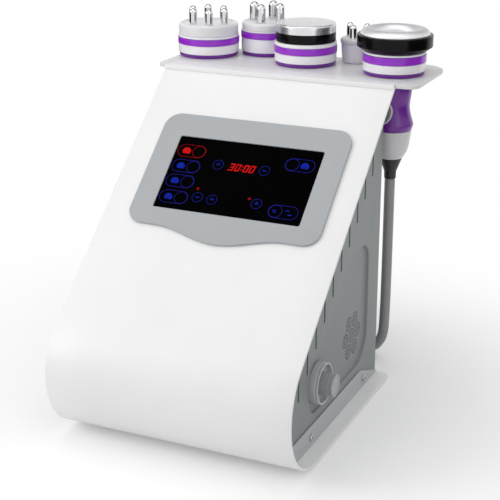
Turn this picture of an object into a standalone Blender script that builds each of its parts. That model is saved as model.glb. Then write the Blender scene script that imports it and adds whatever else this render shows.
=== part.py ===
"""Desktop body-care machine with a slanted front and five handpieces in a rear tray.

Metres, +Z up. X points to the right seen from the front, Y to the back. The origin is on the table, under
the middle of the machine's outline, its handpieces included. Values named *_share are shares of the size
that their name starts with.
"""

import math

import bmesh
import bpy
from mathutils import Matrix, Vector

# Overall size
cover_width = 0.290
cover_height = 0.3705
top_flange = 0.0205
slant_angle = math.radians(41.2)
nose_radius = 0.074
clearance = 0.0003
overrun = 0.004
step_in = 0.0001
round_steps = 24
small_steps = 12
pin_steps = 10
grille_steps = 5

# Bent front cover
sheet = 0.003
cover_corner = 0.009
cover_bend = 0.006
window_margin = 0.004

# Side panels
panel_inset = 0.0198
panel_thickness = 0.004
slot_front_margin = 0.054
slot_width = 0.0045
slot_height = 0.045
slot_drop = 0.0963
slot_pitch = 0.0242
first_slot_back = 0.0321
pocket_back = 0.0355
pocket_front = 0.2187
pocket_top = 0.187
pocket_bottom = 0.040
pocket_shoulder = (0.1047, 0.090)
pocket_corners = [0.024, 0.020, 0.016, 0.020, 0.038]
pocket_depth = 0.0035
pocket_floor = 0.002

# Base rails and their screws
rail_thickness = 0.0015
rail_height = 0.0242
rail_foot = 0.018
rail_cut_length = 0.058
rail_cut_radius = 0.010
screw_head = 0.008
screw_head_height = 0.0022
screw_shank = 0.004
screw_length = 0.0075
screw_front_gap = 0.0278
screw_rear_back = 0.0492
screw_height = 0.0167

# Rear panel with the brackets that carry the tray
rear_thickness = 0.002
bracket_thickness = 0.003
bracket_reach = 0.050
bracket_height = 0.060
bracket_spread = 0.122

# Handpiece tray
tray_left_side = 0.0316
tray_right_side = 0.0483
tray_thickness = 0.004
tray_wing_reach = 0.0237
tray_behind = 0.104
tray_slit = 0.0006
tray_front_corner = 0.014
wing_corner_share = 0.9
tray_back_corner = 0.030
tray_hole_clearance = 0.0015

# Feet
foot_radius = 0.009
foot_height = 0.0025
foot_edge = 0.030

# Bezel, touch panel and control board
screen_width = 0.1782
screen_height = 0.0978
screen_from_top = 0.1509
screen_aside = 0.0028
bezel_width = 0.2325
bezel_above = 0.0307
bezel_below = 0.0223
bezel_belly = 0.0145
bezel_belly_half_share = 0.678
bezel_corner = 0.019
bezel_thickness = 0.003
glass_recess = 0.0009
glass_flange = 0.004
glass_flange_thickness = 0.0022
board_thickness = 0.0016
board_margin = 0.006
chip_height = 0.004
chip_side = 0.016

# Inside of the case
supply_size = (0.090, 0.130, 0.042)
supply_side_gap = 0.0142
supply_rear_gap = 0.0167
driver_size = (0.100, 0.120, 0.0016)
driver_ahead = 0.009
driver_lift = 0.052
driver_coil_radius = 0.012
driver_coil_height = 0.022
driver_post_radius = 0.003
pump_body = (0.048, 0.056, 0.040)
pump_gap_share = 0.42
pump_front_gap = 0.0393
pump_motor_radius = 0.016
pump_motor_length = 0.045
fan_side = 0.060
fan_depth = 0.015
fan_bore = 0.0280
fan_hub = 0.0125
fan_blades = 7
fan_blade_thickness = 0.0016
fan_blade_depth = 0.009
fan_blade_pitch = math.radians(35)
fan_tip_gap = 0.0012
fan_pin = 0.002
fan_strut = 0.004
fan_back_plate = 0.002
fan_back = 0.0800
fan_height = 0.0835
grille_ring = 0.0200
grille_holes = 6
grille_hole_radius = 0.0014
rosette_ring = 0.0055

# Filter on the right side
filter_back = 0.1917
filter_height = 0.072
filter_radius = 0.0235
filter_rim = 0.0022
filter_boss = 0.011
filter_recess = 0.006
filter_spigot = 0.0102
filter_tail = 0.014
filter_tail_radius = 0.0075
cup_radius = 0.0130
cup_length = 0.0182
cup_end = 0.0045

# Mains inlet module and rocker switch in the rear panel
inlet_width = 0.0275
inlet_height = 0.058
inlet_flange = 0.0045
inlet_flange_thickness = 0.003
inlet_depth = 0.028
inlet_mouth = (0.024, 0.018)
inlet_mouth_depth = 0.017
inlet_pin_length = 0.014
inlet_pin = (0.002, 0.004)
inlet_pin_spread = 0.007
inlet_from_side = 0.0472
inlet_centre_height = 0.085
rocker_size = (0.019, 0.0125)
rocker_throw = 0.0026
rocker_body = 0.009
rocker_pivot_depth = 0.002
rocker_pivot = 0.0013
rocker_pivot_reach = 0.0015
rocker_tilt = math.radians(8)

# Handpiece sockets in the rear panel
socket_count = 5
socket_from_side = 0.0272
socket_pitch = 0.034
socket_radius = 0.0095
socket_bore = 0.0062
socket_lip = 0.004
socket_depth = 0.012
socket_plate = 0.0015
socket_plate_margin = 0.004

# Handpiece grips
grip_flange = 0.0042
grip_neck = 0.0222
grip_waist = 0.0202
grip_flare = 0.0252
grip_bottom = 0.0234
grip_neck_drop = 0.020
grip_waist_drop = 0.037
grip_flare_drop = 0.060
grip_length = 0.0668
tail_length = 0.035
tail_shoulder = 0.0223
tail_middle = 0.0196
tail_end = 0.0140
gland_length = 0.005
gland_end = 0.0105
grip_spigot = 0.008
grip_spigot_depth = 0.006

# Six-pin handpiece
six_x = -0.1264
six_behind = 0.056
six_radius = 0.0382
six_white = 0.0107
six_band = 0.0082
six_thin = 0.0027
six_cap = 0.0135
six_pins = 6
six_pin_ring = 0.0222
six_turn = math.radians(-3)

# Four-pin handpiece
four_x = -0.0625
four_behind = 0.092
four_radius = 0.0326
four_white = 0.0168
four_band = 0.0080
four_thin = 0.0017
four_cap = 0.0092
four_pins = 4
four_pin_ring = 0.0177
four_turn = math.radians(-2)

# Cavitation handpiece
cavitation_x = 0.006
cavitation_behind = 0.052
cavitation_radius = 0.0382
cavitation_white = 0.0101
cavitation_band = 0.0085
cavitation_thin = 0.0045
cavitation_black = 0.0109
cavitation_disc = 0.0102
cavitation_disc_round = 0.0020
cavitation_disc_radius = 0.0364

# Small facial handpiece
facial_x = 0.0592
facial_behind = 0.0855
facial_radius = 0.0197
facial_base = 0.0172
facial_body = 0.0232
facial_cap = 0.0062
facial_handle = 0.0125
facial_length = 0.100
facial_pins = 3
facial_pin_ring = 0.0125
facial_turn = math.radians(30)

# Vacuum handpiece
vacuum_x = 0.1225
vacuum_behind = 0.040
vacuum_radius = 0.0373
vacuum_white = 0.0100
vacuum_band = 0.0095
vacuum_thin = 0.0024
vacuum_ring_radius = 0.0442
vacuum_ring = 0.0190
vacuum_ring_bevel = 0.0055
vacuum_cup_radius = 0.0408
vacuum_cup_bore = 0.0215
vacuum_cup_height = 0.0070
vacuum_cup_depth = 0.022
relief_length = 0.0255
relief_top = 0.0137
relief_waist = 0.0076
relief_waist_share = 0.62
relief_bottom = 0.0070

# Shared by the heads
band_proud = 0.0006
band_depth = 0.0030
cap_inset = 0.0014
cap_dish = 0.0012
cap_round = 0.0032
cap_lip = 0.0006
carrier_thickness = 0.0022
carrier_inset = 0.0022
large_pin = 0.0047
large_pin_height = 0.0198
wide_pin = 0.0058
wide_pin_height = 0.0238
facial_pin = 0.0042
facial_pin_height = 0.0176
edge_round = 0.0008

# Vacuum hose
hose_radius = 0.0063
coil_turns = 2.25
coil_pitch = 0.0131
coil_lift = 0.0131
coil_outer = 0.0740
coil_behind = 0.0863
coil_points_per_turn = 24
plug_length = 0.030
plug_radius = 0.0088
plug_nose = 0.0058

# The cord's route from the strain relief to the coil, chosen by hand
hose_route = [
    (0.1225, 0.1367, 0.2426),
    (0.1225, 0.1367, 0.2200),
    (0.1226, 0.1367, 0.1700),
    (0.1227, 0.1367, 0.1200),
    (0.1223, 0.1370, 0.0700),
    (0.1202, 0.1387, 0.0395),
    (0.1115, 0.1464, 0.0212),
    (0.1008, 0.1558, 0.0113),
    (0.0850, 0.1697, 0.0066),
    (0.0720, 0.1860, 0.0066),
    (0.0620, 0.2040, 0.0066),
    (0.0510, 0.2220, 0.0066),
    (0.0380, 0.2410, 0.0066),
    (0.0240, 0.2530, 0.0066),
]

# Derived sizes and places
base_z = foot_height
base_top = base_z + sheet
slant_rise = cover_height - base_z - nose_radius * (1 + math.cos(slant_angle))
slant_run = slant_rise / math.tan(slant_angle)
case_depth = nose_radius * (1 - math.sin(slant_angle)) + slant_run + top_flange
overall_depth = case_depth + four_behind + four_radius
front_y = -overall_depth / 2
rear_y = front_y + case_depth
panel_x = cover_width / 2 - panel_inset
rail_x = panel_x + clearance + rail_thickness
tray_top = cover_height
tray_bottom = tray_top - tray_thickness
nose_y = front_y + nose_radius
nose_z = base_z + nose_radius
slant_dir = Vector((0, math.cos(slant_angle), math.sin(slant_angle)))
slant_out = Vector((0, -math.sin(slant_angle), math.cos(slant_angle)))
slant_start = Vector((0, nose_y, nose_z)) + slant_out * nose_radius
slant_length = (cover_height - slant_start.z) / math.sin(slant_angle)
screen_place = slant_start + slant_dir * (slant_length - screen_from_top)
screen_place.x = screen_aside
tray_left = tray_left_side - six_x
tray_right = tray_right_side + vacuum_x
tray_back = rear_y + tray_behind
six_place = (six_x, rear_y + six_behind)
four_place = (four_x, rear_y + four_behind)
cavitation_place = (cavitation_x, rear_y + cavitation_behind)
facial_place = (facial_x, rear_y + facial_behind)
vacuum_place = (vacuum_x, rear_y + vacuum_behind)
side_wall_x = panel_x - panel_thickness
supply_place = (
    -side_wall_x + supply_side_gap + supply_size[0] / 2,
    rear_y - supply_rear_gap - supply_size[1] / 2,
)
driver_place = (supply_place[0], supply_place[1] - driver_ahead)
supply_right = supply_place[0] + supply_size[0] / 2
pump_place = (
    supply_right + pump_gap_share * (side_wall_x - supply_right - pump_body[0]) + pump_body[0] / 2,
    nose_y + pump_front_gap + pump_body[1] / 2,
)
inlet_place = (panel_x - inlet_from_side, inlet_centre_height)
coil_z = hose_radius + clearance
socket_z = coil_z + coil_lift
plug_x = -side_wall_x + socket_from_side
coil_centre = (plug_x + coil_outer, rear_y + coil_behind)
plug_back = rear_y + socket_plate + clearance + plug_length

# Axes for flat outlines and turned shapes
AXES_SLANT = Matrix((
    (1, 0, 0),
    (0, slant_dir.y, slant_out.y),
    (0, slant_dir.z, slant_out.z),
))
AXES_SIDE = Matrix(((0, 0, 1), (1, 0, 0), (0, 1, 0)))
AXES_REAR = Matrix(((-1, 0, 0), (0, 0, 1), (0, 1, 0)))
AXES_FLAT = Matrix.Identity(3)
AXES_ALONG_X = Matrix(((0, 0, 1), (0, 1, 0), (-1, 0, 0)))
AXES_ALONG_Y = Matrix(((1, 0, 0), (0, 0, 1), (0, -1, 0)))


def clear_scene():
    for obj in list(bpy.data.objects):
        bpy.data.objects.remove(obj, do_unlink=True)


def collection(name, hidden=False):
    made = bpy.data.collections.new(name)
    bpy.context.scene.collection.children.link(made)
    made.hide_render = hidden
    return made


clear_scene()
parts = collection("slimming_machine")
cutters = collection("cutters", hidden=True)


def material(name, colour, roughness, metallic=0.0):
    made = bpy.data.materials.new(name)
    made.use_nodes = True
    shader = made.node_tree.nodes["Principled BSDF"]
    shader.inputs["Base Color"].default_value = (*colour, 1)
    shader.inputs["Roughness"].default_value = roughness
    shader.inputs["Metallic"].default_value = metallic
    return made


white_paint = material("white_paint", (0.90, 0.90, 0.90), 0.35)
grey_paint = material("grey_paint", (0.23, 0.25, 0.26), 0.45)
rail_paint = material("rail_paint", (0.36, 0.37, 0.38), 0.40)
tray_plastic = material("tray_plastic", (0.80, 0.80, 0.80), 0.40)
bezel_plastic = material("bezel_plastic", (0.45, 0.47, 0.49), 0.40)
glass_black = material("glass_black", (0.005, 0.005, 0.008), 0.10)
board_green = material("board_green", (0.02, 0.12, 0.05), 0.50)
supply_steel = material("supply_steel", (0.60, 0.60, 0.60), 0.35, 1.0)
black_plastic = material("black_plastic", (0.012, 0.012, 0.014), 0.35)
purple_plastic = material("purple_plastic", (0.25, 0.03, 0.47), 0.30)
white_plastic = material("white_plastic", (0.86, 0.86, 0.86), 0.25)
pale_plastic = material("pale_plastic", (0.68, 0.68, 0.69), 0.35)
chrome = material("chrome", (0.80, 0.80, 0.80), 0.08, 1.0)
rubber = material("rubber", (0.02, 0.02, 0.02), 0.80)
hose_rubber = material("hose_rubber", (0.19, 0.20, 0.21), 0.55)
filter_plastic = material("filter_plastic", (0.33, 0.34, 0.35), 0.30)


def placed(obj, look, place=(0, 0, 0), axes=AXES_FLAT, group=None):
    """Puts an object in its collection, at its place, with its material."""
    for owner in list(obj.users_collection):
        owner.objects.unlink(obj)
    (group or parts).objects.link(obj)
    obj.matrix_world = Matrix.Translation(place) @ axes.to_4x4()
    if look:
        obj.data.materials.clear()
        obj.data.materials.append(look)
    if group is cutters:
        obj.hide_render = True
        obj.display_type = "WIRE"
    return obj


def box(name, size, centre, look, bevel=0, axes=AXES_FLAT, group=None):
    mesh = bpy.data.meshes.new(name)
    bm = bmesh.new()
    bmesh.ops.create_cube(bm, size=1, matrix=Matrix.Diagonal((*size, 1)))
    bm.to_mesh(mesh)
    bm.free()
    obj = placed(bpy.data.objects.new(name, mesh), look, centre, axes, group)
    if bevel:
        rounding = obj.modifiers.new("edges", "BEVEL")
        rounding.width = bevel
        rounding.segments = 1
    return obj


def rod(name, radius, length, centre, look, axes=AXES_FLAT, group=None, steps=small_steps):
    mesh = bpy.data.meshes.new(name)
    bm = bmesh.new()
    bmesh.ops.create_cone(
        bm, cap_ends=True, segments=steps, radius1=radius, radius2=radius, depth=length
    )
    bm.to_mesh(mesh)
    bm.free()
    return placed(bpy.data.objects.new(name, mesh), look, centre, axes, group)


def turned(name, profile, look, place, axes=AXES_FLAT, steps=round_steps, ring=False, group=None):
    """A profile of (radius, height) turned about its own Z, outer side listed from top to bottom."""
    mesh = bpy.data.meshes.new(name)
    bm = bmesh.new()
    points = [bm.verts.new((radius, 0, height)) for radius, height in profile]
    for first, second in zip(points, points[1:]):
        bm.edges.new((first, second))
    if ring:
        bm.edges.new((points[-1], points[0]))
    bm.to_mesh(mesh)
    bm.free()
    obj = placed(bpy.data.objects.new(name, mesh), look, place, axes, group)
    screw = obj.modifiers.new("turn", "SCREW")
    screw.axis = "Z"
    screw.steps = steps
    screw.render_steps = steps
    screw.use_merge_vertices = True
    screw.merge_threshold = 0.00001
    screw.use_smooth_shade = True
    return obj


def outline(name, loops, thickness, look, place, axes, group=None):
    """A flat plate with the first loop as its edge and the others as its holes."""
    curve = bpy.data.curves.new(name, "CURVE")
    curve.dimensions = "2D"
    curve.fill_mode = "BOTH"
    curve.extrude = thickness / 2
    for loop in loops:
        spline = curve.splines.new("POLY")
        spline.points.add(len(loop) - 1)
        for point, (x, y) in zip(spline.points, loop):
            point.co = (x, y, 0, 1)
        spline.use_cyclic_u = True
    return placed(bpy.data.objects.new(name, curve), look, place, axes, group)


def tube(name, points, radius, look, sides=2, group=None):
    curve = bpy.data.curves.new(name, "CURVE")
    curve.dimensions = "3D"
    curve.bevel_depth = radius
    curve.bevel_resolution = sides
    curve.use_fill_caps = True
    spline = curve.splines.new("POLY")
    spline.points.add(len(points) - 1)
    for point, place in zip(spline.points, points):
        point.co = (*place, 1)
    return placed(bpy.data.objects.new(name, curve), look, group=group)


def as_mesh(obj):
    """The curve as a welded mesh, so that it can be cut or can cut."""
    bpy.context.view_layer.update()
    graph = bpy.context.evaluated_depsgraph_get()
    mesh = bpy.data.meshes.new_from_object(obj.evaluated_get(graph))
    bm = bmesh.new()
    bm.from_mesh(mesh)
    bmesh.ops.remove_doubles(bm, verts=bm.verts, dist=clearance / 100)
    bmesh.ops.recalc_face_normals(bm, faces=bm.faces)
    bm.to_mesh(mesh)
    bm.free()
    name, group, where = obj.name, obj.users_collection[0], obj.matrix_world.copy()
    bpy.data.objects.remove(obj, do_unlink=True)
    made = bpy.data.objects.new(name, mesh)
    group.objects.link(made)
    made.matrix_world = where
    made.hide_render = group is cutters
    made.display_type = "WIRE" if group is cutters else "TEXTURED"
    return made


def boolean(obj, other, operation="DIFFERENCE"):
    step = obj.modifiers.new(operation.lower(), "BOOLEAN")
    step.operation = operation
    step.object = other
    step.solver = "EXACT"
    return obj


def join(obj, *others):
    """Unions helpers into a part and keeps the helpers out of it as cutters."""
    for other in others:
        boolean(obj, other, "UNION")
    return obj


def circle(centre, radius, steps=round_steps, start=0.0):
    return [
        (
            centre[0] + radius * math.cos(start + 2 * math.pi * k / steps),
            centre[1] + radius * math.sin(start + 2 * math.pi * k / steps),
        )
        for k in range(steps)
    ]


def arc(centre, radius, start, end, steps):
    """Points on an arc, its angles in degrees."""
    return [
        (
            centre[0] + radius * math.cos(math.radians(start + (end - start) * k / steps)),
            centre[1] + radius * math.sin(math.radians(start + (end - start) * k / steps)),
        )
        for k in range(steps + 1)
    ]


def rounded(points, radius, steps=5):
    """A closed outline with each corner rounded, by one radius or by one for each corner."""
    radii = radius if isinstance(radius, list) else [radius] * len(points)
    loop = []
    for k, corner in enumerate(points):
        here = Vector(corner)
        before = (Vector(points[k - 1]) - here).normalized()
        after = (Vector(points[(k + 1) % len(points)]) - here).normalized()
        if not radii[k]:
            loop.append(tuple(here))
            continue
        half = before.angle(after) / 2
        reach = radii[k] / math.tan(half)
        middle = here + (before + after).normalized() * (radii[k] / math.sin(half))
        first = here + before * reach - middle
        last = here + after * reach - middle
        sweep = first.angle_signed(last)
        for step in range(steps + 1):
            turned_by = Matrix.Rotation(-sweep * step / steps, 2)
            loop.append(tuple(middle + turned_by @ first))
    return loop


def smooth(route, per_span):
    """Points along a smooth curve through a route's points."""
    places = [Vector(p) for p in route]
    places = [places[0] * 2 - places[1]] + places + [places[-1] * 2 - places[-2]]
    points = []
    for k in range(1, len(places) - 2):
        a, b, c, d = places[k - 1 : k + 3]
        for step in range(per_span):
            t = step / per_span
            points.append(
                0.5 * (2 * b + (c - a) * t + (2 * a - 5 * b + 4 * c - d) * t * t
                       + (3 * b - a - 3 * c + d) * t ** 3)
            )
    return points + [places[-2]]


def cover_profile(inset, steps=14):
    """(y, z) points of the cover's outer face moved inwards, from the base's rear edge to the flange's."""
    radius = nose_radius - inset
    points = [(rear_y, base_z + inset)]
    points += arc((nose_y, nose_z), radius, 270, 90 + math.degrees(slant_angle), steps)
    start = slant_start - slant_out * inset
    top_z = cover_height - inset
    top_y = start.y + (top_z - start.z) / math.tan(slant_angle)
    reach = (cover_bend - inset) * math.tan(slant_angle / 2)
    bend = (top_y + reach, top_z - (cover_bend - inset))
    points += arc(bend, cover_bend - inset, 90 + math.degrees(slant_angle), 90, 3)
    points.append((rear_y, top_z))
    return points


def front_cover():
    mesh = bpy.data.meshes.new("front_cover")
    bm = bmesh.new()
    rows = [
        [bm.verts.new((side * cover_width / 2, y, z)) for side in (-1, 1)]
        for y, z in cover_profile(0)
    ]
    for low, high in zip(rows, rows[1:]):
        bm.faces.new((low[1], low[0], high[0], high[1]))
    bmesh.ops.recalc_face_normals(bm, faces=bm.faces)
    bmesh.ops.bevel(bm, geom=rows[0], offset=cover_corner, segments=4, profile=0.5, affect="VERTICES")
    bm.normal_update()
    lowest = min(bm.faces, key=lambda face: face.calc_center_median().z)
    if lowest.normal.z > 0:
        bmesh.ops.reverse_faces(bm, faces=bm.faces)
    bm.to_mesh(mesh)
    bm.free()
    obj = placed(bpy.data.objects.new("front_cover", mesh), white_paint)
    wall = obj.modifiers.new("wall", "SOLIDIFY")
    wall.thickness = sheet
    wall.offset = -1
    wall.use_even_offset = True
    window = box(
        "window_cutter",
        (screen_width + 2 * glass_flange + 2 * window_margin,
         screen_height + 2 * glass_flange + 2 * window_margin,
         2 * (sheet + overrun)),
        screen_place, None, axes=AXES_SLANT, group=cutters,
    )
    return boolean(obj, window)


def side_outline():
    """The side panel's edge as (y, z), inside the cover."""
    inset = sheet + clearance
    bottom = base_top + rail_thickness + 2 * clearance
    points = [p for p in cover_profile(inset)[1:-1] if p[1] > bottom]
    top = points[-1][1]
    low_reach = math.sqrt((nose_radius - inset) ** 2 - (nose_z - bottom) ** 2)
    return [(rear_y, bottom), (nose_y - low_reach, bottom)] + points + [(rear_y, top)]


def slot_loops():
    loops = []
    count = 1 + int((case_depth - first_slot_back - slot_front_margin) / slot_pitch)
    for k in range(count):
        y = rear_y - first_slot_back - k * slot_pitch
        z = min(slant_start.z + (y - slant_start.y) * math.tan(slant_angle), cover_height) - slot_drop
        half = slot_width / 2
        corners = [(y - half, z), (y + half, z), (y + half, z + slot_height), (y - half, z + slot_height)]
        loops.append(rounded(corners, half * 0.9, 2))
    return loops


def grille_loops():
    centre = (rear_y - fan_back, fan_height)
    loops = []
    for k in range(grille_holes + 1):
        reach = grille_ring if k else 0
        turn = math.radians(60) * k
        middle = (centre[0] + reach * math.cos(turn), centre[1] + reach * math.sin(turn))
        loops.append(circle(middle, grille_hole_radius, grille_steps))
        for hole in circle(middle, rosette_ring, grille_steps, start=turn):
            loops.append(circle(hole, grille_hole_radius, grille_steps))
    return loops


def grown(points, reach):
    """A closed outline, listed anticlockwise, with its edges moved outwards."""
    loop = []
    for k, corner in enumerate(points):
        here = Vector(corner)
        before = (here - Vector(points[k - 1])).normalized()
        after = (Vector(points[(k + 1) % len(points)]) - here).normalized()
        first = Vector((before.y, -before.x))
        second = Vector((after.y, -after.x))
        loop.append(tuple(here + (first + second) * (reach / (1 + first.dot(second)))))
    return loop


def pocket_outline(reach):
    """The pressed pocket's edge as (y, z), moved outwards by reach."""
    back = rear_y - pocket_back
    front = rear_y - pocket_front
    corners = [
        (back, pocket_top), (rear_y - pocket_shoulder[0], pocket_top),
        (front, pocket_shoulder[1]), (front, pocket_bottom), (back, pocket_bottom),
    ]
    return rounded(grown(corners, reach), [radius + reach for radius in pocket_corners], 5)


def rail_holes(radius):
    return [
        circle((y, screw_height), radius, small_steps)
        for y in (nose_y + screw_front_gap, rear_y - screw_rear_back)
    ]


def side_panel(side):
    """Panel with a pressed pocket; the right one has the fan's grille and the filter's hole in the pocket."""
    name = "right_side_panel" if side > 0 else "left_side_panel"
    loops = [side_outline()] + rail_holes(screw_shank / 2 + clearance)
    middle = side * (panel_x - panel_thickness / 2)
    panel = as_mesh(outline(name, loops, panel_thickness, grey_paint, (middle, 0, 0), AXES_SIDE))
    floor_deep = pocket_depth + pocket_floor
    floor_high = panel_thickness / 2
    floor = as_mesh(
        outline("floor_of_" + name, [pocket_outline(pocket_floor)], floor_deep - floor_high, None,
                (side * (panel_x - (floor_deep + floor_high) / 2), 0, 0), AXES_SIDE, cutters)
    )
    join(panel, floor)
    pocket = as_mesh(
        outline("pocket_of_" + name, [pocket_outline(0)], 2 * pocket_depth, None,
                (side * panel_x, 0, 0), AXES_SIDE, cutters)
    )
    boolean(panel, pocket)
    through = slot_loops()
    if side > 0:
        through += grille_loops()
        through.append(circle((rear_y - filter_back, filter_height), filter_tail_radius + clearance))
    holes = as_mesh(
        outline("holes_of_" + name, through, 2 * (floor_deep + pocket_floor), None,
                (side * panel_x, 0, 0), AXES_SIDE, cutters)
    )
    return boolean(panel, holes)


def base_rail(side):
    name = "right_base_rail" if side > 0 else "left_base_rail"
    inset = sheet + clearance
    low = base_top + clearance
    top = low + rail_height
    radius = nose_radius - inset
    front = [p for p in arc((nose_y, nose_z), radius, 270, 200, 24)[1:] if p[1] < top]
    top_reach = math.sqrt(radius ** 2 - (nose_z - top) ** 2)
    corners = [
        (rear_y - rail_cut_length, top), (rear_y, low + rail_thickness), (rear_y, low),
    ]
    loop = [(nose_y, low)] + front + [(nose_y - top_reach, top)]
    bend = rounded([loop[-1]] + corners, [0, rail_cut_radius, 0, 0], 5)[1:]
    middle = side * (rail_x - rail_thickness / 2)
    rail = as_mesh(
        outline(name, [loop + bend] + rail_holes(screw_shank / 2 + clearance), rail_thickness,
                rail_paint, (middle, 0, 0), AXES_SIDE)
    )
    front_end = nose_y + rail_foot
    foot = box(
        "foot_of_" + name,
        (rail_foot, rear_y - front_end, rail_thickness - 2 * step_in),
        (side * (rail_x - rail_thickness / 2 - rail_foot / 2), (rear_y + front_end) / 2 - step_in,
         low + rail_thickness / 2),
        None, group=cutters,
    )
    return join(rail, foot)


def rail_screws():
    head = screw_head / 2
    profile = [
        (0, screw_head_height), (head * 0.6, screw_head_height), (head, screw_head_height / 3),
        (head, 0), (screw_shank / 2, 0), (screw_shank / 2, -screw_length), (0, -screw_length),
    ]
    for side, way in ((-1, "left"), (1, "right")):
        axes = AXES_ALONG_X if side > 0 else Matrix.Rotation(math.pi, 3, "Z") @ AXES_ALONG_X
        for where, y in (("front", nose_y + screw_front_gap), ("rear", rear_y - screw_rear_back)):
            place = (side * (rail_x + clearance), y, screw_height)
            turned("rail_screw_%s_%s" % (where, way), profile, supply_steel, place, axes, small_steps)


def rear_panel():
    low = base_top + rail_thickness + 2 * clearance
    high = tray_bottom - clearance
    half = panel_x - panel_thickness - clearance
    inlet = (-inlet_place[0], inlet_place[1])
    w = inlet_width / 2 + clearance
    h = inlet_height / 2 + clearance
    loops = [
        [(-half, low), (half, low), (half, high), (-half, high)],
        [(inlet[0] - w, inlet[1] - h), (inlet[0] + w, inlet[1] - h),
         (inlet[0] + w, inlet[1] + h), (inlet[0] - w, inlet[1] + h)],
    ]
    for k, x in enumerate(socket_places()):
        loops.append(circle((-x, socket_z), socket_radius + clearance, small_steps * 2, start=k))
    panel = as_mesh(
        outline("rear_panel", loops, rear_thickness, grey_paint,
                (0, rear_y - rear_thickness / 2, 0), AXES_REAR)
    )
    gussets = []
    for k, side in enumerate((-1, 1)):
        shape = [
            (rear_y - rear_thickness / 2, high - step_in),
            (rear_y - rear_thickness / 2, high - bracket_height),
            (rear_y + clearance, high - bracket_height),
            (rear_y + bracket_reach, high - tray_thickness),
            (rear_y + bracket_reach, high - step_in),
        ]
        gussets.append(
            as_mesh(outline("gusset_" + str(k), [shape], bracket_thickness, None,
                            (side * bracket_spread / 2, 0, 0), AXES_SIDE, cutters))
        )
    return join(panel, *gussets)


def socket_places():
    return [plug_x + k * socket_pitch for k in range(socket_count)]


def socket_strip():
    """One moulded strip with a round socket for each handpiece, held behind the rear panel."""
    left = socket_places()[0] - socket_radius - socket_plate_margin
    right = socket_places()[-1] + socket_radius + socket_plate_margin
    face = rear_y + clearance + socket_plate / 2
    strip = box(
        "socket_strip",
        (right - left, socket_plate, 2 * (socket_z - base_z - clearance)),
        ((left + right) / 2, face, socket_z), black_plastic,
    )
    sleeves = []
    bores = []
    for k, x in enumerate(socket_places()):
        depth = socket_depth + socket_plate
        place = (x, rear_y + socket_plate - depth / 2, socket_z)
        sleeves.append(rod("sleeve_%d" % k, socket_radius, depth, place, None, AXES_ALONG_Y, cutters, 16))
        mouth = (x, rear_y + socket_plate, socket_z)
        bores.append(
            rod("socket_bore_%d" % k, socket_bore, 2 * (socket_depth - socket_lip / 2), mouth, None,
                AXES_ALONG_Y, cutters, 16)
        )
    join(strip, *sleeves)
    for bore in bores:
        boolean(strip, bore)
    return strip


def handpiece_tray():
    inner = cover_width / 2 + tray_slit
    front = rear_y + clearance
    wing_front = rear_y - tray_wing_reach
    corners = [
        (-tray_left, wing_front), (-inner, wing_front), (-inner, front), (inner, front),
        (inner, wing_front), (tray_right, wing_front), (tray_right, tray_back), (-tray_left, tray_back),
    ]
    left_corner = min(tray_front_corner, wing_corner_share * (tray_left - inner))
    right_corner = min(tray_front_corner, wing_corner_share * (tray_right - inner))
    radii = [left_corner, 0, 0, 0, 0, right_corner, tray_back_corner, tray_back_corner]
    loop = rounded(corners, radii, 5)
    hole = grip_flare + tray_hole_clearance
    notch = [(four_place[0] + hole, tray_back)] + arc(four_place, hole, 0, -180, 14)
    notch.append((four_place[0] - hole, tray_back))
    loop = loop[:-6] + notch + loop[-6:]
    holes = [circle(place, hole) for place in (six_place, cavitation_place, vacuum_place)]
    holes.append(circle(facial_place, facial_handle + tray_hole_clearance, small_steps * 2))
    middle = tray_top - tray_thickness / 2
    return outline("handpiece_tray", [loop] + holes, tray_thickness, tray_plastic, (0, 0, middle), AXES_FLAT)


def feet():
    for name, x_side, y in (
        ("foot_front_left", -1, nose_y), ("foot_front_right", 1, nose_y),
        ("foot_rear_left", -1, rear_y - foot_edge), ("foot_rear_right", 1, rear_y - foot_edge),
    ):
        height = foot_height - clearance
        profile = [
            (0, height), (foot_radius, height), (foot_radius, edge_round),
            (foot_radius - edge_round, 0), (0, 0),
        ]
        turned(name, profile, rubber, (x_side * (cover_width / 2 - foot_edge), y, 0), steps=16)


def bezel():
    """Grey frame round the screen, with a low belly in the middle of its bottom edge."""
    half = bezel_width / 2
    top = screen_height / 2 + bezel_above
    low = -screen_height / 2 - bezel_below
    outer = rounded([(-half, low), (half, low), (half, top), (-half, top)], bezel_corner, 6)
    belly = []
    belly_half = half * bezel_belly_half_share
    for k in range(round_steps + 1):
        x = belly_half * (2 * k / round_steps - 1)
        belly.append((x, low - bezel_belly * (1 + math.cos(math.pi * x / belly_half)) / 2))
    first_corner = outer[:7]
    loop = first_corner + belly + outer[7:]
    w = screen_width / 2
    h = screen_height / 2
    window = [(-w, -h), (w, -h), (w, h), (-w, h)]
    middle = screen_place + slant_out * (clearance + bezel_thickness / 2)
    return outline("screen_bezel", [loop, window], bezel_thickness, bezel_plastic, middle, AXES_SLANT)


def touch_panel():
    """Glass with a flange that lies behind the bezel, in the cover's window."""
    pane_top = bezel_thickness - glass_recess + clearance
    pane_low = -glass_flange_thickness
    pane = box(
        "touch_panel",
        (screen_width - 2 * clearance, screen_height - 2 * clearance, pane_top - pane_low),
        screen_place + slant_out * (pane_top + pane_low) / 2, glass_black, axes=AXES_SLANT,
    )
    flange = box(
        "glass_flange",
        (screen_width + 2 * glass_flange, screen_height + 2 * glass_flange, glass_flange_thickness),
        screen_place - slant_out * (glass_flange_thickness / 2 + step_in), None,
        axes=AXES_SLANT, group=cutters,
    )
    return join(pane, flange)


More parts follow.
